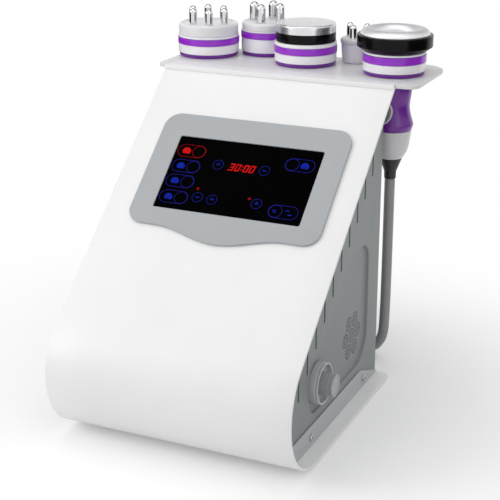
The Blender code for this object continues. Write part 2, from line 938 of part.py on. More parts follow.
def control_board():
    top = -glass_flange_thickness - 2 * clearance
    width = screen_width + 2 * glass_flange - board_margin
    height = screen_height + 2 * glass_flange - board_margin
    board = box(
        "control_board", (width, height, board_thickness),
        screen_place + slant_out * (top - board_thickness / 2), board_green, axes=AXES_SLANT,
    )
    chips = []
    for k, share in enumerate((-0.3, 0, 0.3)):
        place = screen_place + slant_out * (top - board_thickness - chip_height / 2 + clearance)
        place = place + Vector((share * width, 0, 0))
        chips.append(
            box("chip_%d" % k, (chip_side, chip_side, chip_height), place, None, axes=AXES_SLANT,
                group=cutters)
        )
    return join(board, *chips)


def power_supply():
    z = base_top + clearance + supply_size[2] / 2
    body = box("power_supply", supply_size, (*supply_place, z), supply_steel, bevel=edge_round)
    return body


def driver_board():
    """Board with three transformers, on four posts over the power supply."""
    z = base_top + clearance + driver_lift
    board = box("driver_board", driver_size, (*driver_place, z), board_green)
    others = []
    for k, share in enumerate((-0.3, 0, 0.3)):
        place = (driver_place[0] + share * driver_size[0], driver_place[1],
                 z + driver_coil_height / 2 + driver_size[2] / 4)
        others.append(rod("coil_%d" % k, driver_coil_radius, driver_coil_height, place, None,
                          group=cutters, steps=16))
    for k, (sx, sy) in enumerate(((-1, -1), (1, -1), (-1, 1), (1, 1))):
        inset = 2 * driver_post_radius
        low = base_top + 2 * clearance + supply_size[2]
        place = (driver_place[0] + sx * (supply_size[0] / 2 - inset),
                 driver_place[1] + sy * (driver_size[1] / 2 - inset), (low + z) / 2)
        others.append(rod("post_%d" % k, driver_post_radius, z - low, place, None, group=cutters, steps=8))
    return join(board, *others)


def vacuum_pump():
    z = base_top + clearance + pump_body[2] / 2
    body = box("vacuum_pump", pump_body, (*pump_place, z), black_plastic)
    back = pump_place[1] + pump_body[1] / 2 + pump_motor_length / 2 - edge_round
    motor = rod("pump_motor", pump_motor_radius, pump_motor_length, (pump_place[0], back, z), None,
                AXES_ALONG_Y, cutters, 20)
    return join(body, motor)


def fan():
    """Axial fan behind the grille: frame with struts and a pin, and the rotor that turns on the pin."""
    floor_deep = pocket_depth + pocket_floor
    centre = Vector((panel_x - floor_deep - clearance - fan_depth / 2, rear_y - fan_back, fan_height))
    frame = box("fan_frame", (fan_depth, fan_side, fan_side), centre, black_plastic)
    inner = centre - Vector((fan_depth / 2, 0, 0))
    bore_length = 2 * (fan_depth - fan_back_plate)
    bore_middle = centre + Vector((fan_depth / 2, 0, 0))
    bore = rod("fan_bore", fan_bore, bore_length, bore_middle, None, AXES_ALONG_X, cutters, 28)
    boolean(frame, bore)
    for k in range(4):
        turn = math.radians(45 + 90 * k)
        reach = (fan_bore + fan_hub) / 2
        place = inner + Vector((0, reach * math.cos(turn), reach * math.sin(turn)))
        span = (fan_bore - fan_hub - fan_strut / 2) / 2
        vent = rod("fan_vent_%d" % k, span, 2 * fan_depth, place, None, AXES_ALONG_X, cutters, 12)
        boolean(frame, vent)
    pin = rod("fan_pin", fan_pin, fan_depth / 2, inner + Vector((fan_depth / 4 + edge_round, 0, 0)), None,
              AXES_ALONG_X, cutters, 12)
    join(frame, pin)
    rotor_low = fan_back_plate + clearance
    rotor_high = fan_depth - edge_round
    middle = inner + Vector(((rotor_low + rotor_high) / 2, 0, 0))
    rotor = rod("fan_rotor", fan_hub, rotor_high - rotor_low, middle, black_plastic, AXES_ALONG_X, None, 20)
    for k in range(fan_blades):
        turn = 2 * math.pi * k / fan_blades
        length = fan_bore - fan_tip_gap - fan_hub + edge_round
        mesh_place = Matrix.Rotation(turn, 3, "X") @ Matrix.Rotation(fan_blade_pitch, 3, "Z")
        reach = fan_hub - edge_round + length / 2
        outwards = Matrix.Rotation(turn, 3, "X") @ Vector((0, 0, 1))
        blade = box("fan_blade_%d" % k, (fan_blade_thickness, fan_blade_depth, length),
                    middle + outwards * reach, None, axes=mesh_place, group=cutters)
        join(rotor, blade)
    hole = rod("fan_rotor_bore", fan_pin + clearance, fan_depth, inner + Vector((edge_round, 0, 0)), None,
               AXES_ALONG_X, cutters, 12)
    return boolean(rotor, hole)


def filter_fitting():
    """Round housing on the right side with a spigot, and the cup that twists onto it."""
    place = (panel_x - pocket_depth + clearance, rear_y - filter_back, filter_height)
    floor = filter_boss - filter_recess
    inner = filter_radius - filter_rim
    spigot_top = filter_boss + filter_recess
    profile = [
        (0, spigot_top), (filter_spigot, spigot_top), (filter_spigot, floor), (inner, floor),
        (inner, filter_boss), (filter_radius - edge_round, filter_boss),
        (filter_radius, filter_boss - edge_round), (filter_radius, 0), (filter_tail_radius, 0),
        (filter_tail_radius, -filter_tail), (0, -filter_tail),
    ]
    turned("filter_housing", profile, filter_plastic, place, AXES_ALONG_X)
    low = floor + clearance
    bore = filter_spigot + clearance
    top = low + cup_length
    profile = [
        (0, top), (cup_radius - edge_round, top), (cup_radius, top - edge_round), (cup_radius, low),
        (bore, low), (bore, top - cup_end), (0, top - cup_end),
    ]
    turned("filter_cup", profile, filter_plastic, place, AXES_ALONG_X)


def inlet_module():
    """Mains inlet with a switch frame above it, in one moulding."""
    x, z = inlet_place
    face = rear_y + clearance + inlet_flange_thickness
    body = box(
        "inlet_module", (inlet_width, inlet_depth, inlet_height),
        (x, face - inlet_depth / 2, z), black_plastic,
    )
    flange = box(
        "inlet_flange",
        (inlet_width + 2 * inlet_flange, inlet_flange_thickness - step_in,
         inlet_height + 2 * inlet_flange),
        (x, face - inlet_flange_thickness / 2 + step_in, z), None, group=cutters,
    )
    join(body, flange)
    mouth_z = z - inlet_height / 2 + inlet_mouth[1]
    mouth = box(
        "inlet_mouth", (inlet_mouth[0], 2 * inlet_mouth_depth, inlet_mouth[1]), (x, face, mouth_z),
        None, group=cutters,
    )
    boolean(body, mouth)
    for k in (-1, 0, 1):
        pin_z = mouth_z + (inlet_pin[1] / 2 if k == 0 else -inlet_pin[1] / 2)
        pin = box(
            "inlet_pin_%d" % (k + 1), (inlet_pin[0], inlet_pin_length, inlet_pin[1]),
            (x + k * inlet_pin_spread, face - inlet_mouth_depth + inlet_pin_length / 2 - edge_round * 2,
             pin_z),
            None, group=cutters,
        )
        join(body, pin)
    rocker_z = z + inlet_height / 2 - inlet_mouth[1] * 0.75
    well = box(
        "rocker_well",
        (rocker_size[0] + 4 * clearance, 2 * (rocker_body + 2 * clearance), rocker_size[1] + 8 * clearance),
        (x, face, rocker_z), None, group=cutters,
    )
    boolean(body, well)
    pivot = (x, face - rocker_pivot_depth, rocker_z)
    width = rocker_size[0] + 2 * rocker_pivot_reach + 6 * clearance
    bearing = rod("rocker_bearing", rocker_pivot + clearance, width, pivot, None, AXES_ALONG_X, cutters)
    boolean(body, bearing)
    return pivot


def rocker_switch(pivot):
    """Rocker with a shallow V face on a pivot along X, at rest in its off position."""
    half = rocker_size[1] / 2
    face = rocker_pivot_depth
    high = face + rocker_throw
    shape = [
        (-face, -half * 0.6), (face, -half), (high, -half), (face + rocker_throw / 4, 0),
        (high, half), (face, half), (-face, half * 0.6),
    ]
    tilted = Matrix.Rotation(rocker_tilt, 3, "X") @ AXES_SIDE
    rocker = as_mesh(outline("rocker_switch", [shape], rocker_size[0], black_plastic, pivot, tilted))
    width = rocker_size[0] + 2 * rocker_pivot_reach
    pin = rod("rocker_pivot", rocker_pivot, width, pivot, None, AXES_ALONG_X, cutters)
    return join(rocker, pin)


def grip(name, place, base_radius):
    """Purple grip: the disc that rests on the tray and the waisted handle below it."""
    z = tray_top + clearance
    neck = [
        (grip_neck, z), (grip_neck, z - grip_neck_drop), (grip_waist, z - grip_waist_drop),
        ((grip_waist + grip_flare) / 2, z - (grip_waist_drop + grip_flare_drop) / 2),
        (grip_flare, z - grip_flare_drop), (grip_bottom, z - grip_length),
        (grip_spigot, z - grip_length), (grip_spigot, z - grip_length - grip_spigot_depth),
        (0, z - grip_length - grip_spigot_depth),
    ]
    top = z + grip_flange
    profile = [(0, top), (base_radius, top), (base_radius - edge_round, z)] + neck
    return turned(name, profile, purple_plastic, (*place, 0))


def tail_cone(name, place, gland):
    """Pale lower end of a grip, closed by a gland where no hose leaves it."""
    z = tray_top + clearance - grip_length - clearance
    bore = grip_spigot + clearance
    deep = z - grip_spigot_depth - clearance
    low = z - tail_length
    end = [(gland_end, low - gland_length), (0, low - gland_length)] if gland else [(0, low)]
    profile = [
        (bore, z), (grip_bottom - edge_round, z), (grip_bottom, z - edge_round),
        (tail_shoulder, z - tail_length * 0.25), (tail_middle, z - tail_length * 0.7), (tail_end, low),
    ] + end + [(0, deep), (bore, deep)]
    return turned(name, profile, pale_plastic, (*place, 0), ring=True)


def head_body(prefix, place, radius, white, band, thin):
    """White head body with a groove, and the purple band in the groove. Returns the height of its top."""
    low = tray_top + grip_flange + 2 * clearance
    skin = radius - band_proud
    groove = radius - band_depth
    band_low = low + white
    band_top = band_low + band
    top = band_top + thin
    profile = [
        (0, top), (skin - edge_round, top), (skin, top - edge_round / 2), (skin, band_top),
        (groove, band_top), (groove, band_low), (skin, band_low), (skin, low + edge_round),
        (skin - edge_round, low), (0, low),
    ]
    turned(prefix + "_body", profile, white_plastic, (*place, 0))
    profile = [
        (groove + clearance, band_top - clearance), (radius - edge_round / 2, band_top - clearance),
        (radius, band_top - clearance - edge_round / 2), (radius, band_low + clearance + edge_round / 2),
        (radius - edge_round / 2, band_low + clearance), (groove + clearance, band_low + clearance),
    ]
    turned(prefix + "_band", profile, purple_plastic, (*place, 0), ring=True)
    return top + clearance


def pin_cap(prefix, place, radius, low, height, places, pin_radius, pin_height):
    """Dished cap with a hole for each electrode pin, and the pins on their carrier inside it."""
    top = low + height
    edge = radius - cap_inset
    hollow = edge - carrier_inset
    ceiling = low + carrier_thickness + clearance
    crest = edge - cap_round
    shoulder = [
        (crest + cap_round * math.sin(math.radians(a)), top - cap_round * (1 - math.cos(math.radians(a))))
        for a in (0, 30, 60, 90)
    ]
    dish = crest - cap_lip
    profile = [(0, top - cap_dish), (dish - cap_dish, top - cap_dish), (dish, top)] + shoulder + [
        (edge, low), (hollow, low), (hollow, ceiling), (0, ceiling),
    ]
    cap = turned(prefix + "_cap", profile, pale_plastic, (*place, 0))
    for k, (x, y) in enumerate(places):
        hole = rod("%s_pin_hole_%d" % (prefix, k), pin_radius + clearance, 2 * height,
                   (place[0] + x, place[1] + y, top), None, group=cutters, steps=pin_steps)
        boolean(cap, hole)
    carrier_top = low + carrier_thickness
    carrier = rod(
        prefix + "_pins", hollow - clearance, carrier_thickness - step_in,
        (*place, low + carrier_thickness / 2), chrome, steps=24,
    )
    for k, (x, y) in enumerate(places):
        tip = top - cap_dish + pin_height
        foot = carrier_top - carrier_thickness / 2
        shoulder = tip - pin_radius
        profile = [(0, tip)] + [
            (pin_radius * math.sin(math.radians(a)), shoulder + pin_radius * math.cos(math.radians(a)))
            for a in (35, 65, 90)
        ] + [(pin_radius, foot), (0, foot)]
        pin = turned("%s_pin_%d" % (prefix, k), profile, None, (place[0] + x, place[1] + y, 0),
                     steps=pin_steps, group=cutters)
        join(carrier, pin)
    return cap


def pin_ring(count, radius, turn):
    return [
        (radius * math.cos(turn + 2 * math.pi * k / count), radius * math.sin(turn + 2 * math.pi * k / count))
        for k in range(count)
    ]


def six_pin_handpiece():
    grip("six_pin_grip", six_place, six_radius - cap_inset)
    tail_cone("six_pin_tail", six_place, True)
    low = head_body("six_pin", six_place, six_radius, six_white, six_band, six_thin)
    places = pin_ring(six_pins, six_pin_ring, six_turn)
    pin_cap("six_pin", six_place, six_radius, low, six_cap, places, large_pin, large_pin_height)


def four_pin_handpiece():
    grip("four_pin_grip", four_place, four_radius - cap_inset)
    tail_cone("four_pin_tail", four_place, True)
    low = head_body("four_pin", four_place, four_radius, four_white, four_band, four_thin)
    places = pin_ring(four_pins, four_pin_ring, four_turn)
    pin_cap("four_pin", four_place, four_radius, low, four_cap, places, wide_pin, wide_pin_height)


def cavitation_handpiece():
    place = cavitation_place
    grip("cavitation_grip", place, cavitation_radius - cap_inset)
    tail_cone("cavitation_tail", place, True)
    low = head_body("cavitation", place, cavitation_radius, cavitation_white, cavitation_band,
                    cavitation_thin)
    edge = cavitation_disc_radius
    top = low + cavitation_black
    profile = [(0, top), (edge, top), (edge, low + edge_round), (edge - edge_round, low), (0, low)]
    turned("cavitation_collar", profile, black_plastic, (*place, 0))
    disc_low = top + clearance
    disc_top = disc_low + cavitation_disc
    flat = edge - cavitation_disc_round
    rounding = [
        (flat + cavitation_disc_round * math.sin(math.radians(a)),
         disc_top - cavitation_disc_round * (1 - math.cos(math.radians(a))))
        for a in (0, 45, 90)
    ]
    turned("cavitation_disc", [(0, disc_top)] + rounding + [(edge, disc_low), (0, disc_low)], chrome,
           (*place, 0))


def facial_handpiece():
    place = facial_place
    z = tray_top + clearance
    top = z + facial_body
    profile = [
        (0, top), (facial_base * 1.08, top), (facial_base, z + edge_round), (facial_base - edge_round, z),
        (facial_handle, z), (facial_handle, z - facial_length * 0.3),
        (facial_handle * 0.86, z - facial_length * 0.6), (facial_handle, z - facial_length * 0.85),
        (facial_handle * 0.6, z - facial_length), (0, z - facial_length),
    ]
    turned("facial_grip", profile, pale_plastic, (*place, 0), steps=28)
    places = pin_ring(facial_pins, facial_pin_ring, facial_turn)
    pin_cap("facial", place, facial_radius + cap_inset, top + clearance, facial_cap, places, facial_pin,
            facial_pin_height)


def vacuum_handpiece():
    """Suction handpiece: black ring and chrome cup on the head, strain relief under the tail."""
    place = vacuum_place
    vacuum_grip = grip("vacuum_grip", place, vacuum_radius - cap_inset)
    tail_cone("vacuum_tail", place, False)
    low = head_body("vacuum", place, vacuum_radius, vacuum_white, vacuum_band, vacuum_thin)
    top = low + vacuum_ring
    foot = vacuum_radius - band_proud
    cup_seat = vacuum_cup_radius - 2 * edge_round
    seat_z = top - vacuum_cup_depth + vacuum_cup_height
    profile = [
        (cup_seat + clearance, top), (vacuum_ring_radius - edge_round, top),
        (vacuum_ring_radius, top - edge_round), (vacuum_ring_radius, low + vacuum_ring_bevel),
        (foot, low), (0, low), (0, seat_z - clearance), (cup_seat + clearance, seat_z - clearance),
    ]
    turned("vacuum_ring", profile, black_plastic, (*place, 0), ring=True)
    rim = top + vacuum_cup_height
    torus = (vacuum_cup_radius - vacuum_cup_bore) / 2
    middle = vacuum_cup_bore + torus
    crown = [
        (middle + torus * math.cos(math.radians(a)), rim - vacuum_cup_height + clearance
         + (vacuum_cup_height - clearance) * math.sin(math.radians(a)))
        for a in (180, 150, 120, 90, 60, 30, 0)
    ]
    floor = seat_z + vacuum_cup_height / 2
    profile = [(0, floor), (vacuum_cup_bore, floor)] + crown + [
        (cup_seat, top + clearance), (cup_seat, seat_z), (0, seat_z),
    ]
    turned("vacuum_cup", profile, chrome, (*place, 0))
    z = tray_top + clearance - grip_length - 2 * clearance - tail_length
    profile = [
        (0, z), (relief_top, z), (relief_waist, z - relief_length * relief_waist_share),
        (relief_bottom, z - relief_length), (0, z - relief_length),
    ]
    turned("vacuum_relief", profile, rubber, (*place, 0), steps=20)
    return vacuum_grip


def coil_route():
    """Two-layer coil that spirals in, climbs in its middle half turn and spirals out again."""
    count = round(coil_turns * coil_points_per_turn)
    points = []
    for k in range(count + 1):
        turn = coil_turns * k / count
        inwards = min(turn, coil_turns - turn)
        radius = coil_outer - coil_pitch * inwards
        climb = min(max((turn - (coil_turns - 0.5) / 2) / 0.5, 0), 1)
        z = coil_z + coil_lift * (1 - math.cos(math.pi * climb)) / 2
        angle = math.pi / 2 + 2 * math.pi * turn
        points.append(
            Vector((coil_centre[0] + radius * math.cos(angle), coil_centre[1] + radius * math.sin(angle), z))
        )
    return points


def least_gap(points):
    """The least distance between turns of the coil, less one diameter."""
    gap = coil_outer
    near = coil_points_per_turn // 2
    for k, first in enumerate(points):
        for second, third in zip(points[k + near :], points[k + near + 1 :]):
            span = third - second
            along = min(max((first - second).dot(span) / span.length_squared, 0), 1)
            gap = min(gap, (second + span * along - first).length)
    return gap - 2 * hose_radius


def hose():
    """The vacuum hose: its run from the relief, the coil behind the machine, its tail and its plug."""
    coil = coil_route()
    straight = 2 * hose_radius
    start = coil[0] + Vector((straight, 0, 0))
    end = coil[-1] + Vector((0, -straight, 0))
    lead = [start + Vector((straight, 0, 0)), start + Vector((clearance, 0, 0))]
    route = smooth(hose_route + [tuple(lead[0])], 2)[:-1] + lead
    tube("vacuum_hose", route, hose_radius, hose_rubber, 2)
    tube("vacuum_hose_coil", [start] + coil + [end], hose_radius, hose_rubber, 1)
    tail_end = Vector((end.x, plug_back + clearance, socket_z))
    tail = [end + Vector((0, -clearance, 0)), end + Vector((0, -straight, 0)), tail_end]
    tube("vacuum_hose_tail", tail, hose_radius, hose_rubber, 2)
    print("least gap between the coil's turns: %.2f mm" % (least_gap(coil) * 1000))
    profile = [
        (0, plug_length), (plug_radius * 0.85, plug_length), (plug_radius, plug_length * 0.6),
        (plug_radius, 0), (plug_nose, 0), (plug_nose, -socket_lip), (0, -socket_lip),
    ]
    place = (plug_x, rear_y + socket_plate + 2 * clearance, socket_z)
    turned("vacuum_hose_plug", profile, black_plastic, place, AXES_ALONG_Y, 20)


front_cover()
side_panel(-1)
side_panel(1)
base_rail(-1)
base_rail(1)
rail_screws()
rear_panel()
socket_strip()
handpiece_tray()
feet()
bezel()
touch_panel()
control_board()
power_supply()
driver_board()
vacuum_pump()
fan()
filter_fitting()
rocker_switch(inlet_module())
six_pin_handpiece()
four_pin_handpiece()
cavitation_handpiece()
facial_handpiece()
vacuum_handpiece()
hose()
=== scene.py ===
import math

import bmesh
import bpy
from mathutils import Matrix, Vector


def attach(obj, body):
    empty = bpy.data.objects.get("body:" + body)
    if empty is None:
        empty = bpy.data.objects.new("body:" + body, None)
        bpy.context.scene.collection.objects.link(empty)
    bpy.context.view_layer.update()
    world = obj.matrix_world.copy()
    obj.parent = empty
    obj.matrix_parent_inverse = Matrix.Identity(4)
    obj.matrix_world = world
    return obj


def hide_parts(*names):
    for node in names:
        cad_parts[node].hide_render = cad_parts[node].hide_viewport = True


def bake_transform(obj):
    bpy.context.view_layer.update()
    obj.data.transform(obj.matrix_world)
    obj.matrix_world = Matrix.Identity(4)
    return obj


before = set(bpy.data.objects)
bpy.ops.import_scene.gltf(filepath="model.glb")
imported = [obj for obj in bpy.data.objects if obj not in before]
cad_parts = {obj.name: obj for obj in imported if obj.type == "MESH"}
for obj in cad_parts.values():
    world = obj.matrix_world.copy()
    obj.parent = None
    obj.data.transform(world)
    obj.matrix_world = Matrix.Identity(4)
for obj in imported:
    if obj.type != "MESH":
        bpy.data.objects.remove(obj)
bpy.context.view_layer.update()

# ---- Camera -------------------------------------------------------------------------------------------
# A long lens to the right of the machine and above it, aimed down at it with no shift. The lens and the
# angles were fitted to the cover's edges and the round heads in the photograph.
def set_down(name, data):
    """A new object of this scene."""
    made = bpy.data.objects.new(name, data)
    bpy.context.scene.collection.objects.link(made)
    return made


def aimed(thing, direction):
    """Turns a camera or a lamp to look along a direction."""
    thing.rotation_mode = "QUATERNION"
    thing.rotation_quaternion = direction.to_track_quat("-Z", "Y")


camera = set_down("camera", bpy.data.cameras.new("camera"))
camera.data.sensor_width = 36.0
camera.data.lens = 92.376
camera.data.clip_end = 60.0
camera_turn, camera_rise = math.radians(24.45), math.radians(19.5)
camera_back = Vector((math.sin(camera_turn) * math.cos(camera_rise),
                      -math.cos(camera_turn) * math.cos(camera_rise), math.sin(camera_rise)))
camera.location = (0.5840, -1.2853, 0.6765)
aimed(camera, -camera_back)
bpy.context.scene.camera = camera
bpy.context.scene.view_settings.view_transform = "Standard"


# ---- Studio -------------------------------------------------------------------------------------------
# A white sweep lit by large soft boxes. The camera, the chrome and the glass see it as plain white; the floor
# keeps the object's shadow and fades to white away from it. Black flags, as a product photographer hangs
# them round chrome, stand where only reflections meet them and draw the pins' dark edges.
def colour(code):
    """Linear red, green, blue and alpha of an sRGB hex colour."""
    parts = [int(code[k:k + 2], 16) / 255 for k in (0, 2, 4)]
    return [c / 12.92 if c <= 0.04045 else ((c + 0.055) / 1.055) ** 2.4 for c in parts] + [1.0]


def node(tree, kind, inputs=None, links=None, **settings):
    """Adds a node with its settings, its socket values and its incoming links."""
    made = tree.nodes.new(kind)
    for name, value in settings.items():
        setattr(made, name, value)
    for socket, value in (inputs or {}).items():
        made.inputs[socket].default_value = value
    for socket, source in (links or {}).items():
        tree.links.new(source, made.inputs[socket])
    return made


def blend_of(tree, source, first, first_colour, last, last_colour):
    """A colour ramp of two stops."""
    made = node(tree, "ShaderNodeValToRGB", links={0: source})
    for stop, place, shade in zip(made.color_ramp.elements, (first, last), (first_colour, last_colour)):
        stop.position = place
        stop.color = shade
    return made


def looked_at(tree):
    """1 for the rays that see a surface or its mirror image, 0 for those that light it."""
    ray = node(tree, "ShaderNodeLightPath")
    mirror = node(tree, "ShaderNodeMath", operation="MAXIMUM", links={
        0: ray.outputs["Is Glossy Ray"], 1: ray.outputs["Is Transmission Ray"]})
    return node(tree, "ShaderNodeMath", operation="MAXIMUM", links={
        0: ray.outputs["Is Camera Ray"], 1: mirror.outputs[0]}).outputs[0]


def bare_tree(data):
    """The emptied node tree of a material or a world."""
    data.use_nodes = True
    data.node_tree.nodes.clear()
    return data.node_tree


sweep = bpy.data.worlds.new("white_sweep")
tree = bare_tree(sweep)
direction = node(tree, "ShaderNodeTexCoord")
height = node(tree, "ShaderNodeSeparateXYZ", links={0: direction.outputs["Generated"]})
ramp = blend_of(tree, height.outputs["Z"], 0.0, colour("8C8C8E"), 0.45, colour("FFFFFF"))
room = node(tree, "ShaderNodeBackground", {"Strength": 0.62}, {"Color": ramp.outputs["Color"]})
white = node(tree, "ShaderNodeBackground", {"Color": colour("FFFFFF"), "Strength": 1.0})
seen = node(tree, "ShaderNodeMixShader", links={0: looked_at(tree), 1: room.outputs[0], 2: white.outputs[0]})
node(tree, "ShaderNodeOutputWorld", links={"Surface": seen.outputs[0]})
bpy.context.scene.world = sweep

# Place, aim, width, height and power of each.
soft_boxes = {
    "overhead_box": ((-0.25, -0.10, 1.70), (0.0, 0.02, 0.2), 1.5, 1.5, 5.8),
    "left_box": ((-1.50, -1.20, 1.00), (0.0, 0.0, 0.2), 1.0, 1.4, 12.6),
    "right_box": ((1.55, -0.85, 0.80), (0.1, 0.0, 0.2), 0.7, 1.2, 2.7),
}
for name, (place, aim, width, tall, power) in soft_boxes.items():
    lamp = bpy.data.lights.new(name, "AREA")
    lamp.shape = "RECTANGLE"
    lamp.size = width
    lamp.size_y = tall
    lamp.energy = power
    box = set_down(name, lamp)
    box.location = place
    aimed(box, Vector(aim) - Vector(place))

floor_paper = bpy.data.materials.new("floor_paper")
tree = bare_tree(floor_paper)
paper = node(tree, "ShaderNodeBsdfDiffuse", {"Color": colour("F0F0F0")})
lift = node(tree, "ShaderNodeEmission", {"Color": colour("FFFFFF"), "Strength": 0.20})
lit = node(tree, "ShaderNodeAddShader", links={0: paper.outputs[0], 1: lift.outputs[0]})
white = node(tree, "ShaderNodeEmission", {"Color": colour("FFFFFF"), "Strength": 1.0})
spot = node(tree, "ShaderNodeTexCoord")
away = node(tree, "ShaderNodeVectorMath", {1: (-0.04, -0.08, 0.0)}, {0: spot.outputs["Object"]},
            operation="DISTANCE")
fade = node(tree, "ShaderNodeMapRange", {"From Min": 0.28, "From Max": 0.68},
            {"Value": away.outputs["Value"]}, interpolation_type="SMOOTHSTEP")
clean = node(tree, "ShaderNodeMixShader", links={
    0: fade.outputs["Result"], 1: lit.outputs[0], 2: white.outputs[0]})
seen = node(tree, "ShaderNodeMixShader", links={0: looked_at(tree), 1: paper.outputs[0], 2: clean.outputs[0]})
node(tree, "ShaderNodeOutputMaterial", links={"Surface": seen.outputs[0]})


def backdrop(name, verts, faces, material):
    """A piece of the studio, which isn't part of the machine."""
    mesh = bpy.data.meshes.new(name)
    mesh.from_pydata(verts, [], faces)
    mesh.materials.append(material)
    piece = set_down(name, mesh)
    return piece


reach = 15
backdrop("floor", [(-reach, -reach, 0), (reach, -reach, 0), (reach, reach, 0), (-reach, reach, 0)],
         [(0, 1, 2, 3)], floor_paper)

flag_cloth = bpy.data.materials.new("black_flag_cloth")
tree = bare_tree(flag_cloth)
felt = node(tree, "ShaderNodeEmission", {"Color": colour("161618"), "Strength": 1.0})
node(tree, "ShaderNodeOutputMaterial", links={"Surface": felt.outputs[0]})
# Turn from the camera's side, positive to its right, and height of each flag on a ring round the heads.
flags = {
    "left_flag": (-180, -70, 0.02, 0.46),
    "right_flag": (34, 100, 0.02, 0.46),
    "high_flag": (-252, -100, 0.95, 2.60),
}
ring_centre, ring_radius, flag_steps = Vector((0.0, 0.15, 0.0)), 1.05, 24
for name, (first, last, low, high) in flags.items():
    verts = []
    for k in range(flag_steps + 1):
        turn = camera_turn + math.radians(first + (last - first) * k / flag_steps)
        foot = ring_centre + ring_radius * Vector((math.sin(turn), -math.cos(turn), 0))
        verts += [(foot.x, foot.y, low), (foot.x, foot.y, high)]
    flag = backdrop(name, verts, [(2 * k, 2 * k + 2, 2 * k + 3, 2 * k + 1) for k in range(flag_steps)],
                    flag_cloth)
    flag.visible_camera = flag.visible_diffuse = flag.visible_shadow = flag.visible_transmission = False


# ---- Suction hose -------------------------------------------------------------------------------------
# Extruded soft PVC tube, 12.6 mm outside. It leaves the handpiece through a moulded rubber relief, drops to
# the table, lies in a two-layer coil behind the machine and ends in a push-in connector in the rear panel.
class Finish:
    """A material under way: its shader, and noise laid out on the piece's own coordinates."""

    def __init__(self, name, **values):
        self.material = bpy.data.materials.new(name)
        self.material.use_nodes = True
        self.tree = self.material.node_tree
        self.shader = self.tree.nodes["Principled BSDF"]
        self.place = node(self.tree, "ShaderNodeTexCoord").outputs["Object"]
        for socket, value in values.items():
            self.shader.inputs[socket.replace("_", " ")].default_value = value

    def noise(self, scale, detail=2.0, distortion=0.0):
        made = node(self.tree, "ShaderNodeTexNoise", {
            "Scale": scale, "Detail": detail, "Distortion": distortion}, {"Vector": self.place})
        return made.outputs["Fac"]

    def spread(self, socket, noise, span, low, high):
        """Lets a socket's value run from low to high as the noise crosses its span."""
        made = node(self.tree, "ShaderNodeMapRange", {
            "From Min": span[0], "From Max": span[1], "To Min": low, "To Max": high}, {"Value": noise})
        self.tree.links.new(made.outputs["Result"], self.shader.inputs[socket])

    def bump(self, noise, strength, depth):
        made = node(self.tree, "ShaderNodeBump", {"Strength": strength, "Distance": depth / 1000},
                    {"Height": noise})
        self.tree.links.new(made.outputs["Normal"], self.shader.inputs["Normal"])


def moulded(name, code, roughness, grain, depth, mottle=0.05, coat=0.0, sheen_grain=0.04, ior=1.5):
    """A plastic or rubber skin: fine moulded grain of a size in mm, and slow changes of tone and gloss."""
    made = Finish(name, IOR=ior, Coat_Weight=coat, Coat_Roughness=0.08)
    fine, slow = made.noise(1000 / grain, 3.0), made.noise(16.0)
    base = colour(code)[:3]
    tone = blend_of(made.tree, slow, 0.3, [c * (1 - mottle) for c in base] + [1.0],
                    0.7, [min(1.0, c * (1 + mottle)) for c in base] + [1.0])
    made.tree.links.new(tone.outputs["Color"], made.shader.inputs["Base Color"])
    made.spread("Roughness", fine, (0.3, 0.7), roughness - sheen_grain, roughness + sheen_grain)
    made.bump(fine, 0.5, depth)
    return made.material


# Plasticised PVC, extruded: satin, with a faint drag grain that breaks up the highlight.
soft_pvc = moulded("soft_pvc", "959799", 0.42, 1.6, 0.03)
# Moulded thermoplastic rubber: matt and almost black.
relief_rubber = moulded("relief_rubber", "17171A", 0.50, 1.2, 0.04, coat=0.1)
# Glass-filled nylon, moulded: black with a fine dull grain.
connector_nylon = moulded("connector_nylon", "1B1B1D", 0.42, 0.9, 0.04)


def soften(profile, radius, steps=3, closed=False):
    """The profile with its sharp corners replaced by small arcs."""
    points = [Vector(p) for p in profile]
    result = []
    for k, here in enumerate(points):
        if not closed and k in (0, len(points) - 1):
            result.append(here)
            continue
        before = points[k - 1] - here
        after = points[(k + 1) % len(points)] - here
        if before.length < 1e-7 or after.length < 1e-7 or before.angle(-after) < math.radians(14):
            result.append(here)
            continue
        reach = min(radius, 0.42 * before.length, 0.42 * after.length)
        first = here + before.normalized() * reach
        last = here + after.normalized() * reach
        for step in range(steps + 1):
            t = step / steps
            result.append(first * (1 - t) ** 2 + here * 2 * t * (1 - t) + last * t * t)
    return result


def lathe(profile, ring=False, steps=96):
    """Vertices and faces of (radius, height) points turned about Z, outer side listed from the top down."""
    verts, faces, rows = [], [], []
    for radius, high in profile:
        if radius < 1e-6:
            rows.append([len(verts)] * steps)
            verts.append(Vector((0, 0, high)))
            continue
        rows.append(list(range(len(verts), len(verts) + steps)))
        for k in range(steps):
            turn = 2 * math.pi * k / steps
            verts.append(Vector((radius * math.cos(turn), radius * math.sin(turn), high)))
    pairs = list(zip(rows, rows[1:])) + ([(rows[-1], rows[0])] if ring else [])
    for high_row, low_row in pairs:
        for k in range(steps):
            n = (k + 1) % steps
            corners = [high_row[k], low_row[k], low_row[n], high_row[n]]
            faces.append(list(dict.fromkeys(corners)))
    return verts, [face for face in faces if len(face) > 2]


def fit(name, shape, material, body, place=None, stands_for=(), sharp=32):
    """A finished piece of the machine: mesh in place, material, smooth faces, body and CAD nodes."""
    verts, faces = shape
    mesh = bpy.data.meshes.new(name)
    mesh.from_pydata([place @ v for v in verts] if place else verts, [], faces)
    mesh.validate()
    mesh.materials.append(material)
    return settle(name, mesh, body, stands_for, sharp)


